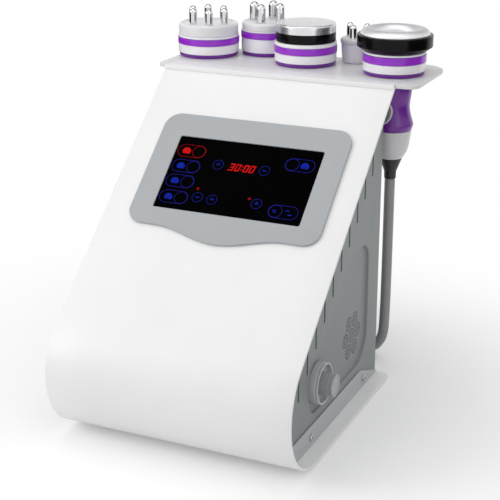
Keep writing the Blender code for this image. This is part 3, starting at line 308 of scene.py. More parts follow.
def settle(name, mesh, body, stands_for=(), sharp=32):
    """Smooths a finished mesh and puts it in the scene as a piece that rides on its body."""
    mesh.shade_smooth()
    mesh.set_sharp_from_angle(angle=math.radians(sharp))
    piece = set_down(name, mesh)
    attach(piece, body)
    if stands_for:
        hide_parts(*stands_for)
    return piece


def along_curve(route, per_span):
    """Points on one smooth curve through a route's points, each the same number of steps apart."""
    places = [Vector(p) for p in route]
    places = [places[0] * 2 - places[1]] + places + [places[-1] * 2 - places[-2]]
    points = []
    for k in range(1, len(places) - 2):
        a, b, c, d = places[k - 1:k + 3]
        for step in range(per_span):
            t = step / per_span
            points.append(0.5 * (2 * b + (c - a) * t + (2 * a - 5 * b + 4 * c - d) * t * t
                                 + (3 * b - a - 3 * c + d) * t ** 3))
    return points + [places[-2]]


def as_made(thing, *helpers):
    """The mesh that an object has with its modifiers applied. The object and its helpers are removed."""
    bpy.context.view_layer.update()
    made = bpy.data.meshes.new_from_object(thing.evaluated_get(bpy.context.evaluated_depsgraph_get()))
    for helper in (thing, *helpers):
        bpy.data.objects.remove(helper, do_unlink=True)
    return made


weld_gap = 2e-6


def welded(meshes, merge=0.0):
    """Several meshes as one, faces outwards, with corners closer than merge made one."""
    bm = bmesh.new()
    for mesh in meshes:
        bm.from_mesh(mesh)
    if merge:
        bmesh.ops.remove_doubles(bm, verts=bm.verts, dist=merge)
    bmesh.ops.recalc_face_normals(bm, faces=bm.faces)
    made = bpy.data.meshes.new("welded")
    bm.to_mesh(made)
    bm.free()
    return made


hose_radius = 0.0063
coil_centre, coil_outer, coil_pitch = Vector((-0.020, 0.1830, 0)), 0.0740, 0.0131
coil_turns, coil_low, coil_lift = 2.25, 0.0066, 0.0131
hose_route = [
    (0.1225, 0.1367, 0.2426), (0.1225, 0.1367, 0.2200), (0.1226, 0.1367, 0.1700),
    (0.1227, 0.1367, 0.1200), (0.1223, 0.1370, 0.0700), (0.1202, 0.1387, 0.0395),
    (0.1115, 0.1464, 0.0212), (0.1008, 0.1558, 0.0113), (0.0850, 0.1697, 0.0066),
    (0.0720, 0.1860, 0.0066), (0.0620, 0.2040, 0.0066), (0.0510, 0.2220, 0.0066),
    (0.0380, 0.2410, 0.0066), (0.0240, 0.2530, 0.0066), (0.0052, 0.2570, 0.0066),
]
coil = []
coil_steps = 216
for k in range(coil_steps + 1):
    turn = coil_turns * k / coil_steps
    radius = coil_outer - coil_pitch * min(turn, coil_turns - turn)
    climb = min(max((turn - (coil_turns - 0.5) / 2) / 0.5, 0), 1)
    angle = math.pi / 2 + 2 * math.pi * turn
    coil.append(coil_centre + Vector((
        radius * math.cos(angle), radius * math.sin(angle),
        coil_low + coil_lift * (1 - math.cos(math.pi * climb)) / 2)))
socket_height = coil_low + coil_lift
plug_back = 0.1285
hose_line = along_curve(hose_route, 8) + coil
hose_line += [coil[-1] + Vector((0, -0.0042 * k, 0)) for k in (1, 2, 3)]
hose_line += [Vector((coil[-1].x, plug_back + 0.0003, socket_height))]

hose_curve = bpy.data.curves.new("suction_hose", "CURVE")
hose_curve.dimensions = "3D"
hose_curve.bevel_depth = hose_radius
hose_curve.bevel_resolution = 6
hose_curve.use_fill_caps = True
spline = hose_curve.splines.new("POLY")
spline.points.add(len(hose_line) - 1)
for point, place in zip(spline.points, hose_line):
    point.co = (*place, 1)
hose_mesh = welded([as_made(set_down("helper", hose_curve))], weld_gap)
hose_mesh.shade_smooth()
hose_mesh.set_sharp_from_angle(angle=math.radians(50))
hose_mesh.materials.append(soft_pvc)
hose = set_down("suction_hose", hose_mesh)
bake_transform(hose)
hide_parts("vacuum_hose", "vacuum_hose_coil", "vacuum_hose_tail")

plug_place = Matrix.Translation((coil[-1].x, 0.0, socket_height)) @ Matrix.Rotation(-math.pi / 2, 4, "X")
plug_profile = [(0.0, plug_back), (0.0070, plug_back), (0.0080, plug_back - 0.0015)]
for k in range(7):
    groove = plug_back - 0.0045 - 0.0022 * k
    plug_profile += [(0.0086, groove), (0.0086, groove - 0.0012), (0.0080, groove - 0.0015),
                     (0.0080, groove - 0.0019)]
plug_profile += [(0.0087, 0.1035), (0.0087, 0.0991), (0.0057, 0.0991), (0.0057, 0.0950), (0.0, 0.0950)]
plug = fit("hose_connector", lathe(soften(plug_profile, 0.0004, 2), steps=64), connector_nylon, "chassis",
           plug_place, ["vacuum_hose_plug"])


# ---- Wrapped cover ------------------------------------------------------------------------------------
# One 3 mm sheet of steel, bent round the nose and folded into a flange at the top, powder-coated white.
# The base, the rounded nose, the sloping front and the flange are the same sheet; its cut edges show.
def coated(name, code, roughness, coat=0.0):
    """Powder coat on sheet steel: a low orange-peel swell of about 2 mm, and slow changes of tone."""
    return moulded(name, code, roughness, 2.2, 0.022, mottle=0.012, coat=coat, sheen_grain=0.03)


cover_coat = coated("white_powder_coat", "F6F6F6", 0.38)

cover_width, cover_height, sheet = 0.290, 0.3705, 0.003
base_z, top_flange = 0.0025, 0.0205
slant = math.radians(41.2)
nose_radius, bend_radius = 0.074, 0.006
slant_run = (cover_height - base_z - nose_radius * (1 + math.cos(slant))) / math.tan(slant)
case_depth = nose_radius * (1 - math.sin(slant)) + slant_run + top_flange
front_y = -(case_depth + 0.092 + 0.0326) / 2
rear_y = front_y + case_depth
nose = Vector((0, front_y + nose_radius, base_z + nose_radius))
slant_along = Vector((0, math.cos(slant), math.sin(slant)))
slant_out = Vector((0, -math.sin(slant), math.cos(slant)))
slant_start = nose + slant_out * nose_radius
slant_length = (cover_height - slant_start.z) / math.sin(slant)
screen = slant_start + slant_along * (slant_length - 0.1509) + Vector((0.0028, 0, 0))


def cover_line(inset, nose_steps=48, bend_steps=8):
    """(y, z) of the sheet's outer face moved in by inset, from the base's rear edge to the flange's."""
    line = [Vector((rear_y, base_z + inset))]
    for k in range(nose_steps + 1):
        turn = math.radians(270) - (math.radians(180) - slant) * k / nose_steps
        line.append(Vector((nose.y + (nose_radius - inset) * math.cos(turn),
                            nose.z + (nose_radius - inset) * math.sin(turn))))
    start = slant_start - slant_out * inset
    window_low = screen - slant_along * 0.0565 - slant_out * inset
    window_high = screen + slant_along * 0.0565 - slant_out * inset
    line += [Vector((window_low.y, window_low.z)), Vector((window_high.y, window_high.z))]
    top_z = cover_height - inset
    top_y = start.y + (top_z - start.z) / math.tan(slant)
    small = bend_radius - inset
    centre = (top_y + small * math.tan(slant / 2), top_z - small)
    for k in range(bend_steps + 1):
        turn = math.pi / 2 + slant * (1 - k / bend_steps)
        line.append(Vector((centre[0] + small * math.cos(turn), centre[1] + small * math.sin(turn))))
    return line + [Vector((rear_y, top_z))]


line = cover_line(0)
window_row = 1 + 49
columns = [-cover_width / 2, screen.x - 0.097, screen.x + 0.097, cover_width / 2]
bm = bmesh.new()
grid = [[bm.verts.new((x, y, z)) for x in columns] for y, z in line]
for row in range(len(line) - 1):
    for column in range(3):
        if row == window_row and column == 1:
            continue
        bm.faces.new((grid[row][column + 1], grid[row][column], grid[row + 1][column],
                      grid[row + 1][column + 1]))
bmesh.ops.bevel(bm, geom=[grid[0][0], grid[0][3]], offset=0.009, segments=6, profile=0.5, affect="VERTICES")
bmesh.ops.recalc_face_normals(bm, faces=bm.faces)
bm.normal_update()
if min(bm.faces, key=lambda face: face.calc_center_median().z).normal.z > 0:
    bmesh.ops.reverse_faces(bm, faces=bm.faces)
cover_mesh = bpy.data.meshes.new("wrapped_cover")
bm.to_mesh(cover_mesh)
bm.free()
cover_mesh.materials.append(cover_coat)


def finished(mesh, steps):
    """The mesh with modifiers applied, as a plain mesh. steps are (kind, settings) pairs."""
    helper = set_down("helper", mesh)
    for kind, settings in steps:
        modifier = helper.modifiers.new(kind.lower(), kind)
        for name, value in settings.items():
            setattr(modifier, name, value)
    return as_made(helper)


cover_mesh = finished(cover_mesh, [
    ("SOLIDIFY", {"thickness": sheet, "offset": -1, "use_even_offset": True}),
    ("BEVEL", {"width": 0.0006, "segments": 2, "limit_method": "ANGLE", "angle_limit": math.radians(50)}),
])
settle("wrapped_cover", cover_mesh, "chassis", ["front_cover"])


# ---- Side panels --------------------------------------------------------------------------------------
# 4 mm painted plates, 18 mm inside the cover's edge, each with a pressed pocket and a stair of vent slots.
# The right one has the fan's grille, seven rosettes of small holes, pierced in the pocket.
panel_coat = coated("grey_powder_coat", "898E8F", 0.45)
panel_x, panel_thickness = 0.1252, 0.004
pocket_depth, pocket_fillet = 0.0035, 0.0016


def rounded(corners, radii, steps=10):
    """A closed outline with rounded corners, listed anticlockwise."""
    loop = []
    for k, corner in enumerate(corners):
        here, radius = Vector(corner), radii[k]
        before = (Vector(corners[k - 1]) - here).normalized()
        after = (Vector(corners[(k + 1) % len(corners)]) - here).normalized()
        if radius <= 0:
            loop.append(here)
            continue
        half = before.angle(after) / 2
        middle = here + (before + after).normalized() * (radius / math.sin(half))
        first = here + before * (radius / math.tan(half)) - middle
        sweep_angle = first.angle_signed(here + after * (radius / math.tan(half)) - middle)
        for step in range(steps + 1):
            loop.append(middle + Matrix.Rotation(-sweep_angle * step / steps, 2) @ first)
    return loop


def rectangle(x, y, width, high, radius=0.0, steps=6):
    """A rectangle's outline round its middle, with rounded corners."""
    loop = [(x - width / 2, y - high / 2), (x + width / 2, y - high / 2),
            (x + width / 2, y + high / 2), (x - width / 2, y + high / 2)]
    return rounded(loop, [radius] * 4, steps)


def grown(corners, reach):
    """Corners of an anticlockwise outline whose edges are moved outwards."""
    loop = []
    for k, corner in enumerate(corners):
        here = Vector(corner)
        before = (here - Vector(corners[k - 1])).normalized()
        after = (Vector(corners[(k + 1) % len(corners)]) - here).normalized()
        first, second = Vector((before.y, -before.x)), Vector((after.y, -after.x))
        loop.append(here + (first + second) * (reach / (1 + first.dot(second))))
    return loop


def round_hole(y, z, radius, steps=24, start=0.0):
    """A round outline, also used to set things out on a ring."""
    return [Vector((y + radius * math.cos(start + 2 * math.pi * k / steps),
                    z + radius * math.sin(start + 2 * math.pi * k / steps))) for k in range(steps)]


def flat(loops, thickness, edge=0.0, edge_steps=2):
    """A plate round z = 0 from outlines, the first its edge and the rest its holes, with rounded edges."""
    curve = bpy.data.curves.new("flat", "CURVE")
    curve.dimensions = "2D"
    curve.fill_mode = "BOTH"
    curve.extrude = thickness / 2 - edge
    curve.bevel_depth = edge
    curve.bevel_resolution = edge_steps
    curve.offset = -edge
    for loop in loops:
        spline = curve.splines.new("POLY")
        spline.points.add(len(loop) - 1)
        for point, place in zip(spline.points, loop):
            point.co = (place[0], place[1], 0, 1)
        spline.use_cyclic_u = True
    return welded([as_made(set_down("helper", curve))], weld_gap)


def sideways(side=1, x=0.0):
    """Stands a plate's drawing up across the machine: its x runs along Y, its y up, its front to a side."""
    return Matrix(((0, 0, side, x), (1, 0, 0, 0), (0, 1, 0, 0), (0, 0, 0, 1)))


def mounted(name, mesh, material, body, place=None, stands_for=(), sharp=32):
    """As fit, for a mesh instead of vertices and faces."""
    if place:
        mesh.transform(place)
        if place.determinant() < 0:
            mesh.flip_normals()
    mesh.materials.clear()
    mesh.materials.append(material)
    return settle(name, mesh, body, stands_for, sharp)


def geometry_group(name, **extra):
    """A Geometry Nodes group that takes and gives a mesh, and takes the extra things by name and kind."""
    tree = bpy.data.node_groups.new(name, "GeometryNodeTree")
    tree.interface.new_socket("Geometry", in_out="INPUT", socket_type="NodeSocketGeometry")
    tree.interface.new_socket("Geometry", in_out="OUTPUT", socket_type="NodeSocketGeometry")
    for title, kind in extra.items():
        tree.interface.new_socket(title, in_out="INPUT", socket_type="NodeSocket" + kind)
    return tree, node(tree, "NodeGroupInput")


def with_group(thing, tree, **values):
    """Puts the group on an object, with the things that its inputs take."""
    modifier = thing.modifiers.new(tree.name, "NODES")
    modifier.node_group = tree
    for socket in tree.interface.items_tree:
        if socket.name in values:
            modifier[socket.identifier] = values[socket.name]
    return thing


def pierced(mesh, cutter, places):
    """The mesh with a copy of the cutter taken out at each place, by a Geometry Nodes tree."""
    points = bpy.data.meshes.new("places")
    points.from_pydata(places, [], [])
    holder, shape = set_down("places", points), set_down("hole", cutter)
    tree, given = geometry_group("pierced_sheet", Hole="Object", Places="Object")
    spots = node(tree, "GeometryNodeObjectInfo", links={"Object": given.outputs["Places"]})
    punch = node(tree, "GeometryNodeObjectInfo", links={"Object": given.outputs["Hole"]})
    copies = node(tree, "GeometryNodeInstanceOnPoints", links={
        "Points": spots.outputs["Geometry"], "Instance": punch.outputs["Geometry"]})
    solid = node(tree, "GeometryNodeRealizeInstances", links={"Geometry": copies.outputs["Instances"]})
    cut = node(tree, "GeometryNodeMeshBoolean", operation="DIFFERENCE", solver="EXACT", links={
        "Mesh 1": given.outputs["Geometry"], "Mesh 2": solid.outputs["Geometry"]})
    node(tree, "NodeGroupOutput", links={0: cut.outputs["Mesh"]})
    return as_made(with_group(set_down("panel", mesh), tree, Hole=shape, Places=holder), holder, shape)


panel_low = base_z + sheet + 0.0015 + 0.0006
panel_edge = [p for p in cover_line(sheet + 0.0003)[1:-1] if p.y > panel_low]
foot_reach = math.sqrt((nose_radius - sheet - 0.0003) ** 2 - (nose.z - panel_low) ** 2)
panel_edge = [Vector((rear_y, panel_low)), Vector((nose.y - foot_reach, panel_low))] + panel_edge
panel_edge.append(Vector((rear_y, panel_edge[-1].y)))
panel_edge.reverse()
pocket_corners = [(rear_y - 0.0355, 0.187), (rear_y - 0.1047, 0.187), (rear_y - 0.2187, 0.090),
                  (rear_y - 0.2187, 0.040), (rear_y - 0.0355, 0.040)]
pocket_radii = [0.024, 0.020, 0.016, 0.020, 0.038]


def side_plate(side):
    """The plate with its pocket pressed in: nested outlines make the step's two soft bends."""
    bm = bmesh.new()

    def ring(loop, depth):
        return [bm.verts.new((side * (panel_x - depth), p.x, p.y)) for p in loop]

    outer = ring(panel_edge, 0)
    rings = []
    steps = 6
    for half in (0, 1):
        for k in range(steps + 1):
            turn = math.pi / 2 * k / steps
            if half == 0:
                reach, depth = pocket_fillet * (1 - math.sin(turn)), pocket_fillet * (1 - math.cos(turn))
            else:
                reach = -pocket_fillet * (1 - math.cos(turn))
                depth = pocket_depth - pocket_fillet * (1 - math.sin(turn))
            loop = rounded(grown(pocket_corners, reach), [r + reach for r in pocket_radii])
            rings.append(ring(loop, depth))
    for first, second in zip(rings, rings[1:]):
        for k in range(len(first)):
            n = (k + 1) % len(first)
            bm.faces.new((first[k], first[n], second[n], second[k]))
    bm.faces.new(rings[-1])
    edges = [bm.edges.new((outer[k], outer[(k + 1) % len(outer)])) for k in range(len(outer))]
    edges += [bm.edges.get((rings[0][k], rings[0][(k + 1) % len(rings[0])])) for k in range(len(rings[0]))]
    bmesh.ops.triangle_fill(bm, edges=edges, use_beauty=True)
    bmesh.ops.recalc_face_normals(bm, faces=bm.faces)
    bm.normal_update()
    if sum(face.normal.x * face.calc_area() for face in bm.faces) * side < 0:
        bmesh.ops.reverse_faces(bm, faces=bm.faces)
    mesh = bpy.data.meshes.new("side_plate")
    bm.to_mesh(mesh)
    bm.free()
    return finished(mesh, [("SOLIDIFY", {"thickness": panel_thickness, "offset": -1})])


slot_width, slot_height, cutter_depth = 0.0042, 0.045, 0.03
filter_y, filter_z = rear_y - 0.1917, 0.072
slot_places = []
for k in range(10):
    y = rear_y - 0.0321 - 0.0242 * k
    slot_places.append((y, slant_start.z + (y - slant_start.y) * math.tan(slant) - 0.0963))
grille_centre = Vector((rear_y - 0.0800, 0.0835))
grille_places = []
for k in range(7):
    turn = math.radians(60) * k
    middle = grille_centre + (0.020 if k else 0.0) * Vector((math.cos(turn), math.sin(turn)))
    grille_places.append(middle)
    grille_places += round_hole(middle.x, middle.y, 0.0042, 6, turn)
    grille_places += round_hole(middle.x, middle.y, 0.0080, 12, turn)
for side, way in ((-1, "left"), (1, "right")):
    panel = side_plate(side)
    to_side = sideways(side)
    slot = flat([rectangle(0, slot_height / 2, slot_width, slot_height, slot_width * 0.4, 4)], cutter_depth)
    slot.transform(to_side)
    if to_side.determinant() < 0:
        slot.flip_normals()
    panel = pierced(panel, slot, [(side * panel_x, y, z) for y, z in slot_places])
    if side > 0:
        hole = flat([round_hole(0, 0, 0.0014, 12)], cutter_depth)
        hole.transform(to_side)
        panel = pierced(panel, hole, [(panel_x, p.x, p.y) for p in grille_places])
        bore = flat([round_hole(filter_y, filter_z, 0.0078, 32)], cutter_depth)
        bore.transform(to_side)
        panel = pierced(panel, bore, [(panel_x, 0, 0)])
    mounted("%s_side_plate" % way, panel, panel_coat, "chassis", None, ["%s_side_panel" % way],
            40)


# ---- Base rails and their screws ----------------------------------------------------------------------
# Folded steel angles on the base sheet that hold the side panels, painted a lighter grey, with the rear
# corner cut off. Each is held by two slotted pan-head screws, zinc-plated.
rail_coat = coated("light_grey_powder_coat", "BBBEC1", 0.42)
rail_x, rail_thickness = 0.1270, 0.0015
rail_low = base_z + sheet + 0.0003
rail_top = rail_low + 0.0242
screw_spots = [(rear_y - 0.2162, 0.0167), (rear_y - 0.0492, 0.0167)]


def on_nose(z, inset):
    """How far forward the nose reaches at a height, moved in by inset."""
    return nose.y - math.sqrt(max((nose_radius - inset) ** 2 - (nose.z - z) ** 2, 0))


rail_front = [Vector((on_nose(rail_low + (rail_top - rail_low) * k / 12, sheet + 0.0003),
                      rail_low + (rail_top - rail_low) * k / 12)) for k in range(13)]
rail_shape = rounded([(rail_front[-1].x, rail_top), (rear_y - 0.058, rail_top), (rear_y, rail_low + 0.0015),
                      (rear_y, rail_low)], [0, 0.010, 0.0012, 0], 10)
rail_edge = rail_front[:-1] + rail_shape
rail_edge.reverse()
for side, way in ((-1, "left"), (1, "right")):
    to_side = sideways(side, side * (rail_x - rail_thickness / 2))
    web = flat([rail_edge], rail_thickness, 0.0004)
    front, back = on_nose(rail_low, sheet) + 0.018, rear_y - 0.0003
    foot = flat([[(front, -0.018), (back, -0.018), (back, -0.0006), (front, -0.0006)]],
                rail_thickness - 0.0002, 0.0002)
    web.transform(to_side)
    foot.transform(Matrix(((0, side, 0, side * rail_x), (1, 0, 0, 0), (0, 0, 1, rail_low + 0.00075),
                           (0, 0, 0, 1))))
    mounted("%s_base_angle" % way, welded([web, foot]), rail_coat, "chassis", None,
            ["%s_base_rail" % way])


def copies_at(unit, places, material):
    """A copy of the unit mesh at each (place, turn), by a Geometry Nodes tree, as one plain mesh."""
    holder_mesh = bpy.data.meshes.new("places")
    holder_mesh.from_pydata([place for place, _ in places], [], [])
    turns = holder_mesh.attributes.new("turn", "FLOAT_VECTOR", "POINT")
    for k, (_, turn) in enumerate(places):
        turns.data[k].vector = turn
    holder, shape = set_down("places", holder_mesh), set_down("unit", unit)
    tree, given = geometry_group("repeated_piece", Piece="Object", Finish="Material")
    unit_info = node(tree, "GeometryNodeObjectInfo", links={"Object": given.outputs["Piece"]})
    turned = node(tree, "GeometryNodeInputNamedAttribute", {"Name": "turn"}, data_type="FLOAT_VECTOR")
    rotation = node(tree, "FunctionNodeEulerToRotation", links={0: turned.outputs["Attribute"]})
    set_out = node(tree, "GeometryNodeInstanceOnPoints", links={
        "Points": given.outputs["Geometry"], "Instance": unit_info.outputs["Geometry"],
        "Rotation": rotation.outputs[0]})
    real = node(tree, "GeometryNodeRealizeInstances", links={"Geometry": set_out.outputs["Instances"]})
    dressed = node(tree, "GeometryNodeSetMaterial", links={
        "Geometry": real.outputs["Geometry"], "Material": given.outputs["Finish"]})
    node(tree, "NodeGroupOutput", links={0: dressed.outputs["Geometry"]})
    return as_made(with_group(holder, tree, Piece=shape, Finish=material), shape)


def set_out(name, unit, places, material, body, stands_for=(), slot=None):
    """One piece of many equal units, such as a row of screws."""
    return mounted(name, copies_at(unit, places, material), material, body, None, stands_for)


def metal(name, code, roughness, scratch, depth):
    """A bare or plated metal: colour, a low roughness that wanders, and fine marks of a size in mm."""
    made = Finish(name, Metallic=1.0, Base_Color=colour(code))
    marks = made.noise(1000 / scratch, 4.0)
    made.spread("Roughness", marks, (0.35, 0.65), roughness * 0.75, roughness * 1.3)
    made.bump(marks, 0.3, depth)
    return made.material


# Zinc plate on steel: bright, a little cloudy.
zinc_plate = metal("zinc_plate", "B9BBBE", 0.28, 2.0, 0.01)


def joined(shapes):
    """Several (verts, faces) shapes as one mesh."""
    mesh = bpy.data.meshes.new("joined")
    verts, faces = [], []
    for some_verts, some_faces in shapes:
        faces += [[k + len(verts) for k in face] for face in some_faces]
        verts += some_verts
    mesh.from_pydata(verts, [], faces)
    return mesh


def slotted_head(radius, high, shank, length):
    """A pan head with a cut slot, as a solid of revolution with a bar taken out of it."""
    profile = soften([(0, high), (radius * 0.72, high * 0.96), (radius, high * 0.35), (radius, 0), (shank, 0),
                      (shank, -length), (0, -length)], radius * 0.2, 4)
    head = joined([lathe(profile, steps=40)])
    bar = flat([rectangle(0, 0, radius * 2.4, radius * 0.26)], high * 0.9)
    return pierced(head, bar, [(0, 0, high)])


screw = slotted_head(0.0040, 0.0022, 0.0019, 0.0074)
screw_turns = (0.9, 2.2)
screw_places = []
for side in (-1, 1):
    for turn, (y, z) in zip(screw_turns, screw_spots):
        aim = Matrix.Rotation(side * math.pi / 2, 3, "Y") @ Matrix.Rotation(turn, 3, "Z")
        screw_places.append(((side * (rail_x + 0.0003), y, z), tuple(aim.to_euler())))
set_out("rail_screws", screw, screw_places, zinc_plate, "chassis",
        ["rail_screw_front_left", "rail_screw_rear_left", "rail_screw_front_right", "rail_screw_rear_right"],
        "supply_steel")


# ---- Rear panel ---------------------------------------------------------------------------------------
# 2 mm steel plate between the side panels, grey like them, with cut-outs for the inlet and the sockets and
# two welded gussets that carry the tray. Pan-head screws along its edges hold it to the side panels.
rear_thickness = 0.002
rear_half, rear_low, rear_high = panel_x - panel_thickness - 0.0003, 0.0076, 0.3662
inlet_x, inlet_z = 0.078, 0.085
socket_xs = [coil_centre.x - coil_outer + 0.034 * k for k in range(5)]


def rear_sheet(loops, thickness, y, edge=0.0):
    """A plate drawn as seen from behind, its middle at a depth y."""
    mesh = flat(loops, thickness, edge)
    mesh.transform(Matrix(((-1, 0, 0, 0), (0, 0, 1, y), (0, 1, 0, 0), (0, 0, 0, 1))))
    return mesh


rear_loops = [rectangle(0, (rear_low + rear_high) / 2, 2 * rear_half, rear_high - rear_low, 0.0015),
              rectangle(-inlet_x, inlet_z, 0.0281, 0.0586)]
rear_loops += [round_hole(-x, socket_height, 0.0098, 48) for x in socket_xs]
rear_parts = [rear_sheet(rear_loops, rear_thickness, rear_y - rear_thickness / 2, 0.0003)]
gusset_loop = rounded([(rear_y - 0.0001, rear_high - 0.060), (rear_y + 0.050, rear_high - 0.004),
                       (rear_y + 0.050, rear_high - 0.0002), (rear_y - 0.0001, rear_high - 0.0002)],
                      [0.0010, 0.0015, 0.0010, 0], 4)
for side in (-1, 1):
    gusset = flat([gusset_loop], 0.003, 0.0005)
    gusset.transform(sideways(1, side * 0.061))
    rear_parts.append(gusset)
mounted("rear_plate", welded(rear_parts), panel_coat, "chassis", None, ["rear_panel"])
back_screw = slotted_head(0.0032, 0.0018, 0.0015, 0.0016)
back_turn = tuple((Matrix.Rotation(-math.pi / 2, 3, "X") @ Matrix.Rotation(0.5, 3, "Z")).to_euler())
back_places = [((side * (rear_half - 0.0065), rear_y + 0.0001, z), back_turn)
               for side in (-1, 1) for z in (0.045, 0.185, 0.325)]
set_out("rear_screws", back_screw, back_places, zinc_plate, "chassis")


# ---- Sockets for the handpieces -----------------------------------------------------------------------
# One moulded strip behind the rear panel with five sleeves; the suction hose sits in the first.
strip_left, strip_right = socket_xs[0] - 0.0135, socket_xs[-1] + 0.0135
strip_loops = [rectangle(-(strip_left + strip_right) / 2, socket_height, strip_right - strip_left, 0.0338,
                         0.0030)]
strip_loops += [round_hole(-x, socket_height, 0.0062, 48) for x in socket_xs]
strip = rear_sheet(strip_loops, 0.0015, rear_y + 0.0003 + 0.00075, 0.0004)
sleeve = joined([lathe([(0.0078, 0.0018), (0.0088, 0.0012), (0.0088, -0.0120), (0.0, -0.0120),
                        (0.0, -0.0108), (0.0062, -0.0108), (0.0062, 0.0012), (0.0070, 0.0018)], True, 48)])
sleeve_turn = tuple(Matrix.Rotation(-math.pi / 2, 3, "X").to_euler())
sleeves = copies_at(sleeve, [((x, rear_y, socket_height), sleeve_turn) for x in socket_xs], connector_nylon)
mounted("handpiece_sockets", welded([strip, sleeves]), connector_nylon, "chassis", None,
        ["socket_strip"])


# ---- Mains inlet and rocker switch --------------------------------------------------------------------
# A moulded nylon module snapped into the rear panel: a three-blade inlet below, a rocker switch above.
inlet_face = rear_y + 0.0033
mouth_z = inlet_z - 0.011
rocker_z = inlet_z + 0.0155
mouth_loop = [(-inlet_x - 0.0118, mouth_z - 0.0088), (-inlet_x + 0.0118, mouth_z - 0.0088),
              (-inlet_x + 0.0118, mouth_z + 0.0040), (-inlet_x + 0.0070, mouth_z + 0.0088),
              (-inlet_x - 0.0070, mouth_z + 0.0088), (-inlet_x - 0.0118, mouth_z + 0.0040)]
mouth_loop = rounded(mouth_loop, [0.0014] * 6, 4)
well_loop = rectangle(-inlet_x, rocker_z, 0.0202, 0.0149, 0.0012, 4)
flange_loop = rectangle(-inlet_x, inlet_z, 0.0364, 0.0668, 0.0030)
shell_loop = rectangle(-inlet_x, inlet_z, 0.0274, 0.0578, 0.0010)
inlet_parts = [rear_sheet([flange_loop, mouth_loop, well_loop], 0.0029, inlet_face - 0.00145, 0.0006),
               rear_sheet([shell_loop, mouth_loop, well_loop], 0.0140, inlet_face - 0.0029 - 0.0069),
               rear_sheet([shell_loop], 0.0110, inlet_face - 0.0222)]
mounted("inlet_housing", welded(inlet_parts), connector_nylon, "chassis", None, ["inlet_module"])
blade = flat([rounded([(-0.0010, -0.0068), (0.0010, -0.0068), (0.0010, 0.0068), (-0.0010, 0.0068)],
                      [0, 0, 0.0009, 0.0009], 4)], 0.0040, 0.0004)
blade_places = [((inlet_x + 0.007 * k, inlet_face - 0.0098, mouth_z + (0.002 if k == 0 else -0.002)),
                 (0, 0, 0)) for k in (-1, 0, 1)]
# Nickel-plated brass: bright and slightly warm.
nickel = metal("nickel_plated_brass", "CFC9BD", 0.22, 1.5, 0.005)
set_out("inlet_blades", blade, blade_places, nickel, "chassis")

rocker_half = 0.00625
rocker_loop = [(-0.002, -rocker_half * 0.6), (0.002, -rocker_half), (0.0046, -rocker_half)]
rocker_loop += [(0.00265 + 0.00195 * (t / 6) ** 2, rocker_half * t / 6) for t in range(-5, 6)]
rocker_loop += [(0.0046, rocker_half), (0.002, rocker_half), (-0.002, rocker_half * 0.6)]
rocker = flat([rocker_loop], 0.019, 0.0005)
rocker_place = Matrix.Translation((inlet_x, inlet_face - 0.002, rocker_z)) @ \
    Matrix.Rotation(math.radians(8), 4, "X") @ sideways()
mounted("power_rocker", rocker, connector_nylon, "rocker", rocker_place, ["rocker_switch"])


# ---- Handpiece tray -----------------------------------------------------------------------------------
# A 4 mm white moulded plate behind the cover's flange, with wings round it and a hole for each handpiece.
tray_abs = moulded("white_moulded_abs", "E2E2E2", 0.36, 0.9, 0.012, 0.01)
tray_thickness, tray_left, tray_right, tray_back = 0.004, 0.158, 0.1708, rear_y + 0.104
six_place, four_place = Vector((-0.1264, rear_y + 0.056)), Vector((-0.0625, rear_y + 0.092))
cavitation_place, facial_place = Vector((0.006, rear_y + 0.052)), Vector((0.0592, rear_y + 0.0855))
vacuum_place = Vector((0.1225, rear_y + 0.040))
grip_hole, wing_inner = 0.0267, cover_width / 2 + 0.0006
tray_loop = rounded([(-tray_left, 0.073), (-wing_inner, 0.073), (-wing_inner, rear_y + 0.0003),
                     (wing_inner, rear_y + 0.0003), (wing_inner, 0.073), (tray_right, 0.073),
                     (tray_right, tray_back), (-tray_left, tray_back)],
                    [0.0112, 0, 0, 0, 0, 0.014, 0.030, 0.030], 10)
notch = [(four_place.x + grip_hole, tray_back)]
notch += [(four_place.x + grip_hole * math.cos(-math.pi * k / 32),
           four_place.y + grip_hole * math.sin(-math.pi * k / 32)) for k in range(33)]
notch.append((four_place.x - grip_hole, tray_back))
tray_loop = tray_loop[:-11] + [Vector(p) for p in notch] + tray_loop[-11:]
tray_holes = [round_hole(p.x, p.y, grip_hole, 64) for p in (six_place, cavitation_place, vacuum_place)]
tray_holes.append(round_hole(facial_place.x, facial_place.y, 0.014, 48))
tray = flat([tray_loop] + tray_holes, tray_thickness, 0.0008, 3)
mounted("moulded_tray", tray, tray_abs, "chassis",
        Matrix.Translation((0, 0, cover_height - tray_thickness / 2)), ["handpiece_tray"])


# ---- Hem ----------------------------------------------------------------------------------------------
# A folded strip along the cover's top bend: a bright upright edge with a fine shadow under it.
hem_y, hem_z = rear_y - top_flange, cover_height
hem_loop = rounded([(hem_y - 0.0069, hem_z - 0.0048), (hem_y - 0.0054, hem_z - 0.0052),
                    (hem_y + 0.0010, hem_z - 0.0010), (hem_y + 0.0010, hem_z + 0.00015),
                    (hem_y - 0.0069, hem_z + 0.00015)], [0.0003, 0.0001, 0.0001, 0.00005, 0.0008], 4)
hem = flat([hem_loop], cover_width - 0.0004)
mounted("top_hem", hem, cover_coat, "chassis", sideways())


